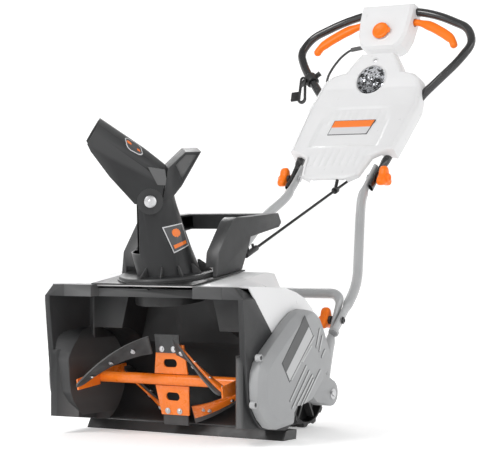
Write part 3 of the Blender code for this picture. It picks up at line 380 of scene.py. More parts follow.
def tube(name, node, points, radius, look, reach, flats):
    """A bent tube with open ends that bends from reach before each corner and is pressed thin in x at the flats."""
    wall, thin = 0.0015, 0.5
    outer, inner = [], []
    for point, u, v in frames_along(evened(rounded_route(points, reach), 0.006)):
        near = min((point - f).length for f in flats)
        share = thin + (1 - thin) * step(near, 0.036, 0.060)
        for rings, lost in ((outer, 0.0), (inner, wall)):
            rings.append([point + u * cos(a) * (radius * share - lost) + v * sin(a) * (radius - lost)
                          for a in angles(28)])
    work = bmesh.new()
    rings_into(work, outer + inner[::-1] + [outer[0]], capped=False)
    bmesh.ops.remove_doubles(work, verts=work.verts, dist=0.00001)
    finish_mesh(name, work, look, BODY_OF[node], (node,), 40)


def lathe_into(work, profile, origin, axis, sides=32, hollow=False):
    """Turns (distance along axis, radius) points round the axis; a hollow profile closes on itself."""
    axis = Vector(axis).normalized()
    u = axis.orthogonal().normalized()
    u = (u - axis * u.dot(axis)).normalized()
    v = axis.cross(u)
    rings = []
    for t, r in profile:
        r = max(r, 0.00002)
        rings.append([Vector(origin) + axis * t + (u * cos(a) + v * sin(a)) * r for a in angles(sides)])
    if not hollow:
        return rings_into(work, rings)
    made = rings_into(work, rings + rings[:1], capped=False)
    bmesh.ops.weld_verts(work, targetmap=dict(zip(made[-1], made[0])))
    return made[:-1]


def hex_bolt_into(work, place, normal, size):
    """A hexagon head on a washer, size across its flats."""
    lathe_into(work, [(-0.0004, size * 0.86), (0.0007, size * 0.88), (0.0010, size * 0.82), (0.0010, size * 0.3)],
               place, normal, 24)
    high = size * 0.42
    lathe_into(work, [(0.0006, size * 0.575), (high * 0.85, size * 0.575), (high, size * 0.50), (high, 0.0)],
               place, normal, 6)


def dome_bolt_into(work, place, normal, radius):
    """A washer with a domed nut and the thread's end."""
    lathe_into(work, [(-0.0004, radius), (0.0006, radius), (0.0009, radius * 0.93), (0.0009, radius * 0.4)],
               place, normal, 24)
    r = radius * 0.62
    lathe_into(work, [(0.0008, r), (r * 0.45, r), (r * 0.80, r * 0.82), (r, r * 0.45), (r * 1.05, 0.0)],
               place, normal, 20)


def screw_into(work, place, normal, r):
    """A pan-head screw with a recess."""
    lathe_into(work, [(-0.0005, r), (0.0005, r), (r * 0.45, r * 0.80), (r * 0.55, r * 0.4), (r * 0.25, r * 0.18),
                      (r * 0.25, 0.0)], place, normal, 20)


def slab_into(work, outline, normal, low, high):
    """Extrudes a flat outline of points from low to high along the normal."""
    normal = Vector(normal).normalized()
    rings_into(work, [[Vector(p) + normal * t for p in outline] for t in (low, high)])


def trim(name, maker, look, body, soft=0.0):
    """A small fitting made by maker(work), with edges rounded by soft."""
    work = bmesh.new()
    maker(work)
    if soft:
        edges = bent_edges(work, 40)
        bmesh.ops.recalc_face_normals(work, faces=work.faces)
        bevelled(work, edges, soft, 2)
    finish_mesh(name, work, look, body)


def turned(name, look, body, profile, origin, axis, sides, hollow=False):
    """A small fitting turned on a lathe."""
    trim(name, lambda work: lathe_into(work, profile, origin, axis, sides, hollow), look, body)


# ------ tubes


def mirror_points(points):
    return [Vector((-p[0], p[1], p[2])) for p in points]


UPPER_SIDE = [
    at(0.1225, 0.822, 0.5655), at(0.1225, 0.849, 0.5915), at(0.134, 0.950, 0.692), at(0.1415, 1.050, 0.803),
    at(0.232, 1.098, 0.900), at(0.262, 1.124, 0.948), at(0.238, 1.150, 0.992), at(0.148, 1.166, 1.030),
    at(0.078, 1.168, 1.047),
]
GRIP_RADIUS = 0.0113
FRAME_RADIUS = 0.012
GRIP_BEND, HANDLE_BEND = 0.034, 0.045  # how far from a corner the tube starts to bend
LOWER_SIDE = [
    at(0.2065, 0.486, 0.2195), at(0.2065, 0.517, 0.2465), at(0.200, 0.612, 0.327), at(0.137, 0.741, 0.498),
    at(0.1095, 0.800, 0.545), at(0.1085, 0.849, 0.5915), at(0.1085, 0.878, 0.619),
]


def upper_handle():
    other = mirror_points(UPPER_SIDE)
    tube("upper_handle_bar", "upper_handle", UPPER_SIDE + other[::-1], GRIP_RADIUS, GLOSS_BLACK, GRIP_BEND,
         [UPPER_SIDE[1], other[1]])


def lower_handle(side, hand):
    route = LOWER_SIDE if side > 0 else mirror_points(LOWER_SIDE)
    node = "lower_handle_" + hand
    tube(node + "_tube", node, route, FRAME_RADIUS, TUBE, HANDLE_BEND, [route[1], route[5]])


def u_frame():
    foot, knee = at(0.213, 0.428, 0.1005), at(0.1975, 0.482, 0.192)
    side = [foot + (knee - foot).normalized() * 0.0006, knee, at(0.1935, 0.517, 0.2465), at(0.190, 0.552, 0.308)]
    other = mirror_points(side)
    tube("rear_frame_tube", "u_frame", side + other[::-1], FRAME_RADIUS, TUBE, GRIP_BEND, [side[2], other[2]])


def tube_fittings():
    """Plug rings in the tube ends and the bolt heads outside the lower joints."""
    def plugs(work):
        for foot, ankle, *_ in (LOWER_SIDE, mirror_points(LOWER_SIDE)):
            lathe_into(work, [(-0.004, 0.006), (-0.003, 0.0118), (0.003, 0.0128), (0.004, 0.0122), (0.004, 0.006)],
                       foot, ankle - foot, 28)
    trim("handle_tube_plugs", plugs, GREY, "lower_handle")

    def bolts(work):
        for side in (1, -1):
            hex_bolt_into(work, (side * 0.2135, *LOWER_PIVOT.yz), (side, 0, 0), 0.010)
    trim("lower_joint_bolts", bolts, STEEL, "lower_handle")


# ------ console


LOW_SLOPE, HIGH_SLOPE = radians(46), radians(66.5)
HIGH_ORIGIN = at(0, 1.045, 0.795)


def slope_axes(slope):
    return Vector((0, cos(slope), sin(slope))), Vector((0, -sin(slope), cos(slope)))


LOW_S, LOW_N = slope_axes(LOW_SLOPE)
HIGH_S, HIGH_N = slope_axes(HIGH_SLOPE)


def on_low(x, s, n):
    return UPPER_PIVOT + Vector((x, 0, 0)) + LOW_S * s + LOW_N * n


def on_high(x, s, n):
    return HIGH_ORIGIN + Vector((x, 0, 0)) + HIGH_S * s + HIGH_N * n


HEADLIGHT = on_high(0, 0.060, 0.0)
BUTTON = on_high(0, 0.206, 0.0)

SHIELD_WALL = 0.003
SHIELD_CORNER = 0.012
# (place, distance up the slope, half width, front face, back edge)
SHIELD_STATIONS = (
    (on_low, -0.024, 0.058, 0.024, 0.009), (on_low, -0.012, 0.084, 0.027, 0.0125),
    (on_low, 0.055, 0.0985, 0.028, 0.0125), (on_low, 0.068, 0.120, 0.029, 0.0135),
    (on_low, 0.080, 0.1535, 0.029, -0.011), (on_low, 0.160, 0.159, 0.029, -0.011),
    (on_low, 0.245, 0.164, 0.028, -0.011), (on_high, 0.034, 0.153, 0.024, -0.014),
    (on_high, 0.060, 0.143, 0.023, -0.014), (on_high, 0.074, 0.126, 0.022, -0.012),
    (on_high, 0.083, 0.088, 0.022, -0.010), (on_high, 0.108, 0.075, 0.021, -0.008),
    (on_high, 0.140, 0.053, 0.019, -0.006),
)


def shield_relief(x, run):
    """How far the front face stands back at x, run metres up from the shield's lower edge."""
    wide = abs(x)
    panel = 0.0035 * inside(run, 0.118, 0.262, 0.004) * (1 - step(wide, 0.098 - 0.05 * step(run, 0.20, 0.27), 0.103))
    ribs = 0.5 + 0.5 * cos(2 * pi * x / 0.0205)
    ribs = 0.0016 * ribs ** 3 * (1 - step(wide, 0.085, 0.092))
    low_ribs = ribs * inside(run, 0.050, 0.098, 0.010)
    high_ribs = ribs * inside(run, 0.208, 0.250, 0.008)
    return panel + low_ribs + high_ribs


def shield_sections():
    """(run, middle, half width, front face, back edge, way out) every 4 mm or so up the shield."""
    sections = []
    run = 0.0
    spots = [(place(0, s, front), place, s, half, front, back) for place, s, half, front, back in SHIELD_STATIONS]
    for a, b in zip(spots, spots[1:]):
        length = (b[0] - a[0]).length
        parts = max(2, round(length / 0.004))
        for k in range(parts):
            t = k / parts
            half, front, back = [p + (q - p) * t for p, q in zip(a[3:], b[3:])]
            sections.append((run + length * t, a[1](0, a[2], 0).lerp(b[1](0, b[2], 0), t), half, front, back,
                             LOW_N.lerp(HIGH_N, t) if a[1] is not b[1] else (LOW_N if a[1] is on_low else HIGH_N)))
        run += length
    place, s, half, front, back = SHIELD_STATIONS[-1]
    return sections + [(run, place(0, s, 0), half, front, back, HIGH_N)]


SHIELD_ROUND = [(1 - cos(a), 1 - sin(a)) for a in map(radians, range(12, 85, 12))]


def shield_ring(run, middle, half, front, back, normal, wall):
    """A section of the shield's outer face, or of its inner face when wall is given."""
    half -= wall
    flat = half - SHIELD_CORNER
    edge = [(half, back), (half, back * 0.4 + (front - SHIELD_CORNER) * 0.6)]
    edge += [(half - SHIELD_CORNER * a, front - wall - SHIELD_CORNER * b) for a, b in SHIELD_ROUND]
    row = edge[:]
    for k in range(65):
        x = flat - 2 * flat * k / 64
        crown = 0.003 * (1 - (x / max(half, 0.001)) ** 2) - 0.003
        row.append((x, front - wall + crown - (0.003 if wall else shield_relief(x, run))))
    row += [(-x, n) for x, n in reversed(edge)]
    return [middle + Vector((x, 0, 0)) + normal * n for x, n in row]


def passages_into(work):
    """The way of the headlight and of the handle's two legs through the shield."""
    lathe_into(work, [(-0.02, 0.0452), (0.06, 0.0452)], HEADLIGHT, HIGH_N, 48)
    radius = 0.0134
    for leg in (UPPER_SIDE[1:5], mirror_points(UPPER_SIDE[1:5])):
        route = rounded_route(leg, GRIP_BEND)[4:]
        rings_into(work, [[p + u * cos(a) * radius + v * sin(a) * radius for a in angles(24)]
                          for p, u, v in frames_along(route)])


def console_shield():
    work = bmesh.new()
    sections = shield_sections()
    outer, inner = [rings_into(work, [shield_ring(*s, wall) for s in sections], close=False, capped=False)
                    for wall in (0.0, SHIELD_WALL)]
    count = len(outer[0])
    for a in range(len(outer) - 1):
        for i in (0, count - 1):
            work.faces.new((outer[a][i], outer[a + 1][i], inner[a + 1][i], inner[a][i]))
    for k in (0, len(outer) - 1):
        for i in range(count - 1):
            work.faces.new((outer[k][i], outer[k][i + 1], inner[k][i + 1], inner[k][i]))
    piece = finish_mesh("console_shield_shell", work, WHITE, "upper_handle", ("console_shield",), 48)
    work = bmesh.new()
    passages_into(work)
    apply_cut(piece, linked("passages", as_mesh("passages", work)))


def apply_cut(piece, cutter):
    """Cuts the cutter out of the piece for good, and removes the cutter."""
    modifier = piece.modifiers.new("cut", "BOOLEAN")
    modifier.object = cutter
    modifier.solver = "EXACT"
    modifier.use_self = True
    graph = bpy.context.evaluated_depsgraph_get()
    graph.update()
    mesh = bpy.data.meshes.new_from_object(piece.evaluated_get(graph))
    piece.modifiers.clear()
    piece.data = mesh
    mesh.set_sharp_from_angle(angle=radians(40))
    bpy.data.objects.remove(cutter)


def console_label():
    """A two-tone plate with a dark edge, without writing."""
    corners = [(-0.060, 0.189), (0.059, 0.189), (0.052, 0.138), (-0.061, 0.138)]
    left, right = (-0.0605, 0.1640), (0.0555, 0.1640)
    face, middle = 0.0257, 0.163
    for end, grow, low, points, look, soft in (
            ("edge", 0.0018, face, corners, LABEL_AND_SHADOW_DARK, 0.0003),
            ("top", 0.0, face + 0.0004, [corners[0], corners[1], right, left], LABEL_ORANGE, 0.0002),
            ("bottom", 0.0, face + 0.0004, [left, right, corners[2], corners[3]], LABEL_LIGHT, 0.0002)):
        outline = [on_low(x + grow * (1 if x > 0 else -1), s + grow * (1 if s > middle else -1), low)
                   for x, s in points]
        trim("console_label_" + end, lambda work: slab_into(work, outline, LOW_N, -0.002, 0.0006), look,
             "upper_handle", soft)


def facets_into(work):
    """The reflector's bowl of small crooked facets."""
    rows, count = 7, 18
    made = []
    for k in range(rows + 1):
        t = k / rows
        radius = 0.004 + 0.0385 * t
        depth = 0.0065 + 0.0120 * t * t
        ring = []
        for a in angles(count, 0.5 * (k % 2)):
            wobble = rng.uniform(-0.0012, 0.0012) if 0 < k < rows else 0
            ring.append(HEADLIGHT + (Vector((1, 0, 0)) * cos(a) + HIGH_S * sin(a)) * radius
                        + HIGH_N * (depth + wobble))
        made.append([work.verts.new(p) for p in ring])
    for k, (a, b) in enumerate(zip(made, made[1:])):
        for i in range(count):
            j = (i + 1) % count
            odd = k % 2
            work.faces.new((a[i], b[j] if odd else b[i], a[j]))
            work.faces.new((a[i] if odd else a[j], b[i], b[j]))
    work.faces.new(made[0][::-1])
    bmesh.ops.solidify(work, geom=work.faces[:], thickness=-0.0012)


def headlight():
    work = bmesh.new()
    facets_into(work)
    piece = finish_mesh("headlight_facets", work, CHROME, "upper_handle", ("headlight_reflector",), 1)
    piece.data.shade_flat()
    piece.data.materials.append(SHADED_CHROME)
    for face in piece.data.polygons:
        face.material_index = 1 if rng.random() < 0.38 else 0
    turned("headlight_ring", WHITE, "upper_handle", [
        (0.010, 0.0425), (0.010, 0.0446), (0.0232, 0.0446), (0.0240, 0.0436), (0.0236, 0.0424), (0.0190, 0.0415),
    ], HEADLIGHT, HIGH_N, 64, hollow=True)
    turned("headlight_back", WHITE, "upper_handle", [
        (0.0042, 0.0), (0.0042, 0.0230), (0.0110, 0.0360), (0.0150, 0.0418), (0.0166, 0.0412), (0.0122, 0.0345),
        (0.0052, 0.0222), (0.0052, 0.0),
    ], HEADLIGHT, HIGH_N, 56)
    glass = bmesh.new()
    lathe_into(glass, [(0.0196, 0.0), (0.0194, 0.0300), (0.0190, 0.0405), (0.0205, 0.0412), (0.0215, 0.0405),
                       (0.0228, 0.0300), (0.0236, 0.015), (0.0240, 0.0)], HEADLIGHT, HIGH_N, 64)
    finish_mesh("headlight_cover", glass, LENS, "upper_handle", ("headlight_lens",), 40)


def switch_box():
    for node in ("switch_box_front", "switch_box_rear"):
        refined(node, 0.0035, 4, angle=30, sharp=50)
    turned("button_collar", WHITE, "upper_handle", [
        (0.0195, 0.0246), (0.0195, 0.0290), (0.0210, 0.0290), (0.0216, 0.0282), (0.0216, 0.0252), (0.0206, 0.0246),
    ], BUTTON, HIGH_N, 48, hollow=True)

    def screw(work):
        lathe_into(work, [(-0.003, 0.0090), (0.0006, 0.0100), (0.0012, 0.0096), (0.0004, 0.0080), (-0.0004, 0.0)],
                   on_high(0.0, 0.118, 0.0192), HIGH_N, 32)
        screw_into(work, on_high(0.0, 0.118, 0.0190), HIGH_N, 0.0066)
    trim("console_screw", screw, STEEL, "upper_handle")


def start_button():
    work = bmesh.new()
    lathe_into(work, [(0.011, 0.0175), (0.0246, 0.0175), (0.0248, 0.0226), (0.0256, 0.0234), (0.0290, 0.0235),
                      (0.0306, 0.0226), (0.0316, 0.0205), (0.0318, 0.0170), (0.0306, 0.0120), (0.0300, 0.0)],
               BUTTON, HIGH_N, 56)
    tab = [BUTTON + Vector((x, 0, 0)) + HIGH_S * s
           for x, s in ((0.018, 0.009), (0.028, 0.006), (0.028, -0.006), (0.018, -0.009))]
    slab_into(work, tab, HIGH_N, 0.0252, 0.0296)
    finish_mesh("start_button_cap", work, ORANGE, "start_button", ("start_button",), 40)


def lever(side, hand):
    """A flattened finger lever, thin at its root and towards its hooked outer end."""
    points = [(0.060, 0.246), (0.085, 0.246), (0.128, 0.232), (0.176, 0.204), (0.200, 0.186), (0.211, 0.162)]
    route = evened(rounded_route([on_high(side * x, s, -0.0115) for x, s in points], 0.022), 0.004)
    squareness = 0.75
    rings = []
    last = len(route) - 1
    for i, point in enumerate(route):
        t = i / last
        across = (route[min(i + 1, last)] - route[max(i - 1, 0)]).normalized().cross(HIGH_N).normalized()
        end = min(1.0, (1 - t) * 22 + 0.35) * (0.86 + 0.14 * step(t, 0.24, 0.36))
        wide = (0.0098 + 0.0030 * inside(t, 0.36, 0.72, 0.15)) * end
        deep = (0.0098 - 0.0012 * t) * end
        ring = []
        for a in angles(24):
            c, s = [copysign(abs(q) ** squareness, q) for q in (cos(a), sin(a))]
            ring.append(point + across * c * wide + HIGH_N * s * deep)
        rings.append(ring)
    work = bmesh.new()
    rings_into(work, rings)
    node = "lever_" + hand
    finish_mesh(node + "_grip", work, ORANGE, node, (node,), 50)


# ------ knobs and joints


KNOB_REACH = 0.030


def star_knob(node, centre, side, inner, outer, head):
    """Three rounded lobes with dished faces, on a bolt with a black washer; head is where the bolt's head sits."""
    way = Vector((side if outer > inner else -side, 0, 0))
    work = bmesh.new()
    rings = []
    for t, grow in ((0.0, 0.80), (0.06, 0.90), (0.16, 0.97), (0.32, 1.0), (0.68, 1.0), (0.84, 0.96), (0.95, 0.88),
                    (1.0, 0.76)):
        ring = []
        for a in angles(72):
            r = KNOB_REACH * (0.55 + 0.45 * (0.5 + 0.5 * cos(3 * a)) ** 1.4) * grow
            ring.append(Vector((side * (inner + (outer - inner) * t), centre.y + r * cos(a + pi / 2),
                                centre.z + r * sin(a + pi / 2))))
        rings.append(ring)
    rings_into(work, rings)
    lathe_into(work, [(-0.002, 0.0115), (0.0035, 0.0108), (0.0060, 0.0090), (0.0065, 0.0060), (0.0040, 0.0040),
                      (0.0040, 0.0)], (side * outer, centre.y, centre.z), way, 36)
    body = BODY_OF[node]
    finish_mesh(node + "_star", work, ORANGE, body, (node,), 50)
    end = Vector((side * inner, centre.y, centre.z))
    turned(node + "_spacer", BLACK, body, [(0.001, 0.0102), (-0.0052, 0.0102), (-0.0060, 0.0094), (-0.0060, 0.0040)],
           end, way, 32)

    def bolt(work):
        lathe_into(work, [(0, 0.0036), (-abs(head - inner), 0.0036)], end, way, 20)
        hex_bolt_into(work, (side * head, centre.y, centre.z), -way, 0.010)
    trim(node + "_bolt", bolt, STEEL, body)


# ------ wheels


LUGS = 12
SPOKES = 6
WHEEL_FACES = 0.1132, 0.1728  # distances of the wheel's two faces from the machine's middle
# (depth under the face, radius) from the bore over the dish to the tyre's shoulder
WHEEL_DISH = (
    (0.004, 0.0062), (-0.0015, 0.0070), (-0.0018, 0.0165), (0.0004, 0.0182), (0.021, 0.0195), (0.0225, 0.0220),
    (0.0225, 0.0655), (0.020, 0.0685), (0.0012, 0.0702), (0.0, 0.0714), (0.0002, 0.0735),
)
AXLE_BOLT = 0.2453, 0.0808


def wheel(side, hand):
    """A moulded wheel with swept lugs, a groove round its tread and dished spoked faces."""
    inner, outer = WHEEL_FACES
    node = "wheel_" + hand

    def ring(x, radius, lug=0.0, sweep=0.0):
        points = []
        for a in angles(216):
            share = ((a - sweep) * LUGS / (2 * pi)) % 1.0
            r = radius + lug * step(share, 0.50, 0.60) * (1 - step(share, 0.92, 1.0))
            points.append(Vector((side * x, AXLE.y + r * cos(a), AXLE.z + r * sin(a))))
        return points

    chain = [ring(inner + depth, radius) for depth, radius in WHEEL_DISH]
    for k in range(17):
        t = k / 16
        round_off = 0.0016 * (1 - sin(pi * min(1, max(0, (min(t, 1 - t)) / 0.16)) / 2))
        sweep = radians(9) * (1 - (2 * t - 1) ** 2)
        groove = 0.0012 * inside(t, 0.47, 0.53, 0.03)
        chain.append(ring(inner + 0.0006 + (outer - inner - 0.0012) * t, 0.0768 - round_off - groove,
                          0.0070 - round_off * 0.8, sweep))
    chain += [ring(outer - depth, radius) for depth, radius in reversed(WHEEL_DISH)]
    work = bmesh.new()
    rings_into(work, chain + [chain[0]], capped=False)
    bmesh.ops.remove_doubles(work, verts=work.verts, dist=0.000005)
    for a in angles(SPOKES):
        out, across = Vector((0, cos(a), sin(a))), Vector((0, -sin(a), cos(a)))
        outline = [AXLE + out * r + across * w
                   for r, w in ((0.016, 0.0032), (0.071, 0.0022), (0.071, -0.0022), (0.016, -0.0032))]
        for low, high in ((inner + 0.005, inner + 0.024), (outer - 0.024, outer - 0.005)):
            slab_into(work, outline, (side, 0, 0), low, high)
    finish_mesh(node + "_moulded", work, BLACK, node, (node,), 35)


def axle_bolt(side, hand):
    def bolt(work):
        hex_bolt_into(work, (side * 0.2362, *AXLE_BOLT), (side, 0, 0), 0.011)
        lathe_into(work, [(0.0, 0.0125), (0.0012, 0.0125), (0.0016, 0.0118), (0.0016, 0.004)],
                   (side * 0.2358, *AXLE_BOLT), (side, 0, 0), 32)
    trim("axle_bolt_" + hand, bolt, STEEL, "chassis")


# ------ auger


LEADS = 8, 188  # where the two rows of blades start, in degrees
TWIST = radians(94)
BLADE_LENGTH = 0.2


def on_blade(x, radius, above, lead):
    """A point of the blade and the way its front face looks; above is measured off the blade's middle surface."""
    turn = radians(lead) + TWIST * abs(x) / BLADE_LENGTH
    face = Vector((0, -cos(turn), -sin(turn)))
    point = AUGER + Vector((x, -radius * sin(turn), radius * cos(turn))) + face * above
    return point, face


def blade_strip(name, nodes, look, side, lead, reach, radii, lift, thick, start):
    """A twisted strip with rounded ends; reach and radii are (low, high), start widens it near the middle."""
    rings = []
    for k in range(33):
        t = k / 32
        x = reach[0] + (reach[1] - reach[0]) * t
        blunt = min(1.0, 0.55 + 0.45 * sin(pi / 2 * min(1.0, (1 - t) / 0.05)))
        middle, half = (radii[0] + radii[1]) / 2, (radii[1] - radii[0]) / 2 * blunt
        low, high, top = middle - half - start * (1 - t) ** 2 * blunt, middle + half, lift + thick
        rings.append([on_blade(side * x, r, above, lead)[0] for r, above in (
            (low, lift), (low, top), (low + 0.0010, top + 0.0004), (high - 0.0010, top + 0.0004), (high, top),
            (high, lift))])
    work = bmesh.new()
    rings_into(work, rings)
    finish_mesh(name, work, look, "auger", nodes, 45)


def blades():
    for side, hand in SIDES:
        for row, lead in zip(("upper", "lower"), LEADS):
            end = "_" + row + "_" + hand
            blade_strip("rubber_blade" + end, ("auger_paddle" + end,), RUBBER, side, lead, (0.0335, 0.1915),
                        (0.0755, 0.1085), 0.0006, 0.0046, 0.010)
            blade_strip("steel_edge" + end, (), ORANGE_STEEL, side, lead, (0.0375, 0.1945), (0.0700, 0.0945), -0.0050,
                        0.0040, 0.006)


def auger_fittings():
    def bolts(work):
        for lead in LEADS:
            for side in (1, -1):
                for x in (0.066, 0.112, 0.158):
                    hex_bolt_into(work, *on_blade(side * x, 0.0865, 0.0057, lead), 0.0075)
                    point, face = on_blade(side * x, 0.0865, -0.0047, lead)
                    dome_bolt_into(work, point, -face, 0.0062)
                for x in (0.056, 0.186):
                    point, face = on_blade(side * x, 0.079, -0.0047, lead)
                    dome_bolt_into(work, point, -face, 0.0052)
    trim("auger_bolts", bolts, STEEL, "auger")

    def plate_bolts(work):
        for lead in LEADS:
            turn = radians(lead)
            up = Vector((0, -sin(turn), cos(turn)))
            across = Vector((0, cos(turn), sin(turn)))
            for x in (-0.016, 0.016):
                point = AUGER + Vector((x, 0, 0)) + up * 0.071
                hex_bolt_into(work, point - across * 0.0076, -across, 0.0080)
                hex_bolt_into(work, point + across * 0.0027, across, 0.0080)
    trim("auger_plate_bolts", plate_bolts, STEEL, "auger")


# ------ scoop


DRUM = 0.120, 0.125  # the drum's axis: distance behind the scoop's front edge, and height
# (height, how far the side wall's front edge stands back)
SCOOP_EDGE = ((0.036, 0.074), (0.047, 0.055), (0.071, 0.033), (0.095, 0.021), (0.186, 0.011), (0.300, 0.0))


def scoop_edge(z):
    for (z0, y0), (z1, y1) in zip(SCOOP_EDGE, SCOOP_EDGE[1:]):
        if z <= z1:
            return y0 + (y1 - y0) * (z - z0) / (z1 - z0)
    return 0.0


def scraper_ends():
    """Closed ends for the scraper's open profile."""
    outline = [(0.1602, 0.0004), (0.2138, 0.0004), (0.2140, 0.0060), (0.2158, 0.0155), (0.2158, 0.0213),
               (0.1725, 0.0213), (0.1602, 0.0012)]

    def maker(work):
        for side in (1, -1):
            slab_into(work, [at(0, y, z) for y, z in outline], (1, 0, 0), *sorted((side * 0.2625, side * 0.2672)))
    trim("scraper_ends", maker, BLACK, "chassis", 0.0005)


def scoop_cheek():
    """The flared inner wall on the left, from the mouth's edge to the rim of the drum's end."""
    def drum(radius, z):
        return sqrt(max(0.0, radius ** 2 - (z - DRUM[1]) ** 2))

    wall = -0.2622
    rings = []
    for k in range(49):
        z = 0.040 + 0.2005 * k / 48
        edge = scoop_edge(z) + 0.0016
        depth = min(0.112, max(edge + 0.0012, DRUM[0] - drum(0.1128, z)))
        back = DRUM[0] + drum(0.1124, z)
        x = -0.2104 - 0.0126 * step(z, 0.208, 0.2405)
        rings.append([at(wall, edge, z), at(wall + 0.0014, edge - 0.0004, z), at(x - 0.0010, depth - 0.0006, z),
                      at(x, depth + 0.0004, z), at(x, back, z), at(wall, back, z)])
    work = bmesh.new()
    rings_into(work, rings)
    finish_mesh("scoop_cheek_left", work, CHARCOAL, "chassis", (), 30)


# ------ belt cover


# (y, z) of both ends of each rib, and of the screws, on the cover's side
COVER_RIBS = (
    ((0.0477, 0.2241), (-0.0484, 0.1361)), ((0.0368, 0.2049), (-0.0019, 0.1721)),
    ((0.0152, 0.1623), (-0.0526, 0.0912)), ((0.0282, 0.1506), (-0.0442, 0.0754)),
    ((0.0412, 0.1409), (-0.0231, 0.0802)), ((0.0455, 0.1318), (-0.0061, 0.0788)),
    ((0.0762, 0.1496), (0.0067, 0.0822)), ((0.0740, 0.2405), (0.0586, 0.2015)),
    ((0.0850, 0.2245), (0.0718, 0.1919)), ((0.0961, 0.1928), (0.0828, 0.1780)),
)
COVER_SCREWS = ((-0.1596, 0.1898), (-0.1814, 0.0924), (-0.0557, 0.0479), (0.1105, 0.1690))


def cover_slab_into(work, points, low, high):
    """A slab on the cover's side, from low to high above it."""
    slab_into(work, [Vector((COVER_FACE, y, z)) for y, z in points], (1, 0, 0), low, high)


def bar_outline(a, b, half):
    """A slim bar between two points of the cover's side, wider at a."""
    a, b = Vector((0, *a)), Vector((0, *b))
    along = (b - a).normalized()
    across = Vector((0, -along.z, along.y))
    wide = half + 0.0006
    tip = half * 1.2
    return [p.yz for p in (a + across * wide, b + across * half, b + along * tip, b - across * half,
                           a - across * wide, a - along * tip)]


def cover_ribs():
    # The dark layer is painted shadow: flat dark strips, wider than the grey ribs, that show as a shadow line round
    # each rib.
    for name, look, half, high, soft in (("ribs", GREY, 0.0018, 0.0016, 0.0008),
                                         ("rib_shadow_lines", LABEL_AND_SHADOW_DARK, 0.0028, 0.0004, 0.0)):
        def bars(work):
            for a, b in COVER_RIBS:
                cover_slab_into(work, bar_outline(a, b, half), -0.0015, high)
        trim("belt_cover_" + name, bars, look, "chassis", soft)


def motor_vent():
    """A ribbed plate in the slot at the rear foot of the motor cover's hump."""
    def upright_into(work, points, low, high):
        slab_into(work, [Vector((x, 0, z)) for x, z in points], (0, 1, 0), low, high)

    half = [(0.2215, 0.3005), (0.2150, 0.3050), (0.1960, 0.3190)]
    outline = half + [(-x, z) for x, z in reversed(half)]
    trim("motor_vent", lambda work: upright_into(work, outline, 0.0712, 0.0728), BLACK, "chassis")

    def ribs(work):
        count, pitch, wide, low, high = 29, 0.0135, 0.0016, 0.3046, 0.3158
        for k in range(count):
            x = pitch * (k - count // 2)
            upright_into(work, [(x - wide, low), (x + wide, low), (x + wide, high), (x - wide, high)], 0.0722, 0.0746)
    trim("motor_vent_ribs", ribs, WHITE, "chassis")


def cover_label():
    """A two-tone plate with a dark edge, without writing."""
    a, b, c, d = corners = [(0.0088, 0.2696), (0.0434, 0.2265), (-0.0546, 0.1344), (-0.0857, 0.1751)]
    upper, lower = (0.0260, 0.2481), (-0.0692, 0.1547)
    middle_y, middle_z = [sum(values) / 4 for values in zip(*corners)]
    wide = [(middle_y + (y - middle_y) * 1.03, middle_z + (z - middle_z) * 1.05) for y, z in corners]
    for end, points, low, high, look in (("edge", wide, -0.001, 0.0005, LABEL_AND_SHADOW_DARK),
                                         ("dark", [a, upper, lower, d], 0.0, 0.0008, LABEL_AND_SHADOW_DARK),
                                         ("light", [upper, b, c, lower], 0.0, 0.0008, GREY)):
        trim("belt_cover_label_" + end, lambda work: cover_slab_into(work, points, low, high), look, "chassis", 0.0002)


def cover_screws():
    def cups(work):
        for y, z in COVER_SCREWS:
            lathe_into(work, [(-0.012, 0.0078), (-0.0015, 0.0078), (-0.0005, 0.0070), (-0.0005, 0.0050),
                              (-0.0040, 0.0046), (-0.0040, 0.0)], (COVER_FACE - 0.006, y, z), (1, 0, 0), 28)
    trim("belt_cover_screw_cups", cups, GREY, "chassis")

    def heads(work):
        for y, z in COVER_SCREWS:
            screw_into(work, (COVER_FACE - 0.0100, y, z), (1, 0, 0), 0.0042)
    trim("belt_cover_screws", heads, DARK_STEEL, "chassis")


# ------ chute


TILT = radians(8)
PLATE_AXIS = Vector((0, -sin(TILT), cos(TILT)))
CHUTE_CENTRE = at(0, 0.110, 0.35696)
TURN = radians(52)
AHEAD = Vector((-sin(TURN), -cos(TURN), 0))
ACROSS = Vector((cos(TURN), -sin(TURN), 0))
TILTED = Matrix.Rotation(TILT, 3, "X")


def in_chute(e, w, h):
    """A point e ahead, w to the side and h up from the middle of the chute's ring."""
    return CHUTE_CENTRE + TILTED @ (AHEAD * e + ACROSS * w + Vector((0, 0, h)))


def chute_fittings():
    def gussets(work):
        profile = [(0.070, 0.0060), (0.100, 0.0060), (0.100, 0.0085), (0.0735, 0.030), (0.069, 0.030)]
        half = 0.0012
        for a in angles(12, 0.5):
            out, side = Vector((cos(a), sin(a), 0)), Vector((-sin(a), cos(a), 0))
            if out.x > 0.72:  # none straight ahead
                continue
            rings_into(work, [[in_chute(*(out * r + side * t + Vector((0, 0, h)))) for r, h in profile]
                              for t in (-half, half)])
    trim("chute_gussets", gussets, BLACK, "chute", 0.0004)

    def screws(work):
        for a in angles(8, 0.25):
            screw_into(work, in_chute(0.107 * cos(a), 0.107 * sin(a), 0.0068), PLATE_AXIS, 0.0042)
    trim("chute_ring_screws", screws, DARK_STEEL, "chute")

    def hinge(work):
        for side in (1, -1):
            point = in_chute(0.032, side * 0.0668, 0.176)
            way = (TILTED @ (ACROSS * side)).normalized()
            lathe_into(work, [(0.0, 0.0108), (0.0012, 0.0108), (0.0016, 0.0100), (0.0016, 0.004)], point, way, 32)
            hex_bolt_into(work, point + way * 0.0012, way, 0.0095)
    trim("hinge_bolts", hinge, STEEL, "chute")


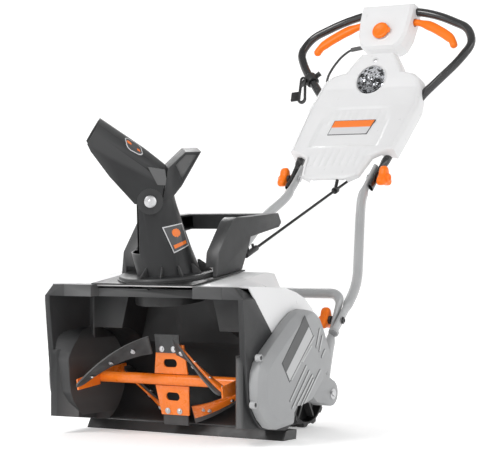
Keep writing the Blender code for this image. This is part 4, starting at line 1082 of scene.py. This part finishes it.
def decal(name, node, corners, look, lift, shape, tiles):
    """A thin sticker laid on the node's surface between four corners, cut to shape(u, v) > 0."""
    mesh = frame["nodes"][node]
    tree = BVHTree.FromPolygons([mesh.matrix_world @ v.co for v in mesh.data.vertices],
                                [p.vertices[:] for p in mesh.data.polygons])
    a, b, c, d = [Vector(p) for p in corners]
    outward = (b - a).cross(d - a).normalized()
    outward = outward if outward.dot(Vector((1, -1, 0.2))) > 0 else -outward
    work = bmesh.new()
    reach = 0.03  # how far off the surface the corners may be

    def laid(u, v):
        point = a.lerp(b, u).lerp(d.lerp(c, u), v)
        hit = tree.ray_cast(point + outward * reach, -outward, 2 * reach)[0]
        return work.verts.new((hit or point) + outward * lift)

    grid = [[laid(i / tiles, j / tiles) for j in range(tiles + 1)] for i in range(tiles + 1)]
    for i in range(tiles):
        for j in range(tiles):
            if shape is None or shape((i + 0.5) / tiles, (j + 0.5) / tiles):
                work.faces.new((grid[i][j], grid[i + 1][j], grid[i + 1][j + 1], grid[i][j + 1]))
    bmesh.ops.delete(work, geom=[v for v in work.verts if not v.link_faces], context="VERTS")
    bmesh.ops.solidify(work, geom=work.faces[:], thickness=0.0003)
    finish_mesh(name, work, look, BODY_OF[node])


def rounded_tile(inset):
    """The shape of a decal with round corners, inset from the edges."""
    corner = 0.32

    def shape(u, v):
        a, b = [max(0.0, abs(q - 0.5) - 0.5 + corner) for q in (u, v)]
        return hypot(a, b) < corner - inset
    return shape


def deflector_cheeks():
    """Thin cheeks that close the hood's rear corners and the grip's open side."""
    corners = ((0.031, 0.252), (-0.006, 0.243), (-0.008, 0.208), (0.013, 0.211))
    grip = ((-0.026, 0.253), (-0.053, 0.275), (-0.083, 0.273), (-0.044, 0.214))

    def maker(work):
        for outline, low, high in ((corners, 0.0604, 0.0626), (corners, -0.0626, -0.0604), (grip, 0.0560, 0.0585)):
            rings_into(work, [[in_chute(e, w, h) for e, h in outline] for w in (low, high)])
    trim("deflector_cheeks", maker, CHARCOAL, BODY_OF["chute_deflector"], 0.0004)


def chute_stickers():
    """Two plain picture panels: pale outlines on dark plates with orange marks, without writing."""
    on_chute = [(0.0276, -0.1452, 0.4653), (0.0590, -0.1060, 0.4760), (0.0700, -0.0930, 0.4270),
                (0.0461, -0.1259, 0.4083)]
    on_hood = [(-0.0386, -0.1955, 0.6643), (-0.0122, -0.1689, 0.6451), (0.0015, -0.1802, 0.6181),
               (-0.0249, -0.2068, 0.6373)]

    def chute_plate(u, v):
        return 0.05 < u < 0.95 and 0.04 < v < 0.96

    def chute_marks(u, v):
        return 0.14 < u < 0.86 and (0.72 < v < 0.86 or hypot(u - 0.5, (v - 0.32) * 1.2) < 0.2)

    def hood_marks(u, v):
        return hypot(u - 0.22, v - 0.42) < 0.14 or (0.66 < u < 0.84 and 0.55 < v < 0.75)

    for name, node, corners, parts in (
            ("chute_sticker_", "chute", on_chute, ((None, 24), (chute_plate, 24), (chute_marks, 30))),
            ("hood_sticker_", "chute_deflector", on_hood,
             ((rounded_tile(0.0), 36), (rounded_tile(0.06), 36), (hood_marks, 36)))):
        layers = (("edge", LABEL_LIGHT, 0.0008), ("plate", LABEL_AND_SHADOW_DARK, 0.0012), ("marks", LABEL_ORANGE, 0.0015))
        for (part, look, lift), (shape, tiles) in zip(layers, parts):
            decal(name + part, node, corners, look, lift, shape, tiles)


# ------ everything else


# (how much of the edges is rounded off, starts of the nodes' names); the first that fits counts
EDGE_WIDTHS = (
    (0.0, "control_cable"), (0.0004, "axle"), (0.0005, "chute_worm", "crank_rod", "auger_bearing"),
    (0.0006, "deflector_bolt", "auger_shaft", "auger_pulley", "motor_pulley", "drive_belt", "rod_bracket"),
    (0.0007, "auger_arm", "auger_plate"), (0.0008, "auger_edge", "scraper_bar", "crank_grip"),
    (0.0012, "chute_base_plate", "chute_deflector", "belt_cover", "left_side_cover"),
    (0.0010, "chute", "crank_coupling", "cord_hook"), (0.0015, "drive_motor"), (0.0016, "scoop_", "wheel_bracket"),
    (0.0022, "motor_cover"), (0.0025, "carry_handle"),
)


def refine_nodes():
    """Rounds and smooths the nodes that keep their CAD shape."""
    for name in frame["nodes"]:
        for width, *starts in EDGE_WIDTHS:
            if name.startswith(tuple(starts)):
                refined(name, width)
                break


refine_nodes()
upper_handle()
for side, hand in SIDES:
    lower_handle(side, hand)
    lever(side, hand)
    wheel(side, hand)
    axle_bolt(side, hand)
    star_knob("lower_knob_" + hand, LOWER_PIVOT, side, 0.1780, 0.1580, 0.2135)
    star_knob("upper_knob_" + hand, UPPER_PIVOT, side, 0.1360, 0.1560, 0.1015)
u_frame()
tube_fittings()
console_shield()
console_label()
headlight()
switch_box()
start_button()
blades()
auger_fittings()
cover_ribs()
motor_vent()
cover_label()
cover_screws()
chute_fittings()
chute_stickers()
deflector_cheeks()
scoop_cheek()
scraper_ends()


# ------ studio


MIDDLE = (0, 0.35, 0.4)


def backdrop():
    """A floor that curves up into a wall all round."""
    bend, flat = 2.0, 6.0
    curve = [radians(10 * k) for k in range(1, 10)]
    profile = [(0.02, 0), (1.0, 0), (2.5, 0), (5.0, 0), (flat, 0)]
    profile += [(flat + bend * sin(a), bend - bend * cos(a)) for a in curve] + [(flat + bend, 5.0)]
    sides = 96
    work = bmesh.new()
    rings_into(work, [[Vector((r * cos(a), MIDDLE[1] + r * sin(a), z)) for a in angles(sides)]
                      for r, z in profile], capped=False)
    work.faces.new(work.verts[:sides])
    mesh = as_mesh("backdrop", work)
    mesh.shade_smooth()
    mesh.materials.append(studio_white("backdrop_white", 0.90))
    stage = linked("backdrop", mesh)


def aimed(thing, place, way):
    thing.location = place
    thing.rotation_euler = way.to_track_quat("-Z", "Y").to_euler()


def area_light(name, place, size, power):
    """A round soft light that shines at the machine's middle."""
    lamp = bpy.data.lights.new(name, "AREA")
    lamp.shape = "DISK"
    lamp.size, lamp.energy = size, power
    aimed(linked(name, lamp), place, Vector(MIDDLE) - Vector(place))


def studio():
    scene = bpy.context.scene
    world = bpy.data.worlds.new("studio")
    world.use_nodes = True
    background = world.node_tree.nodes["Background"]
    background.inputs["Color"].default_value = (1, 1, 1, 1)
    background.inputs["Strength"].default_value = 0.50
    scene.world = world
    area_light("key", (-1.3, -2.6, 3.2), 1.6, 70)
    area_light("fill", (3.2, 0.4, 1.6), 2.2, 14)
    area_light("rim", (-2.2, 2.4, 2.6), 1.4, 35)
    camera = bpy.data.cameras.new("photo_view")
    camera.lens, camera.sensor_width, camera.sensor_fit = 133.2, 36, "HORIZONTAL"
    camera.dof.use_dof = False
    view = linked("photo_view", camera)
    aimed(view, (2.3547, -3.4688, 0.462), Vector((-0.534, 0.8455, 0.0021)))
    scene.camera = view
    scene.view_settings.view_transform = "Standard"


backdrop()
studio()
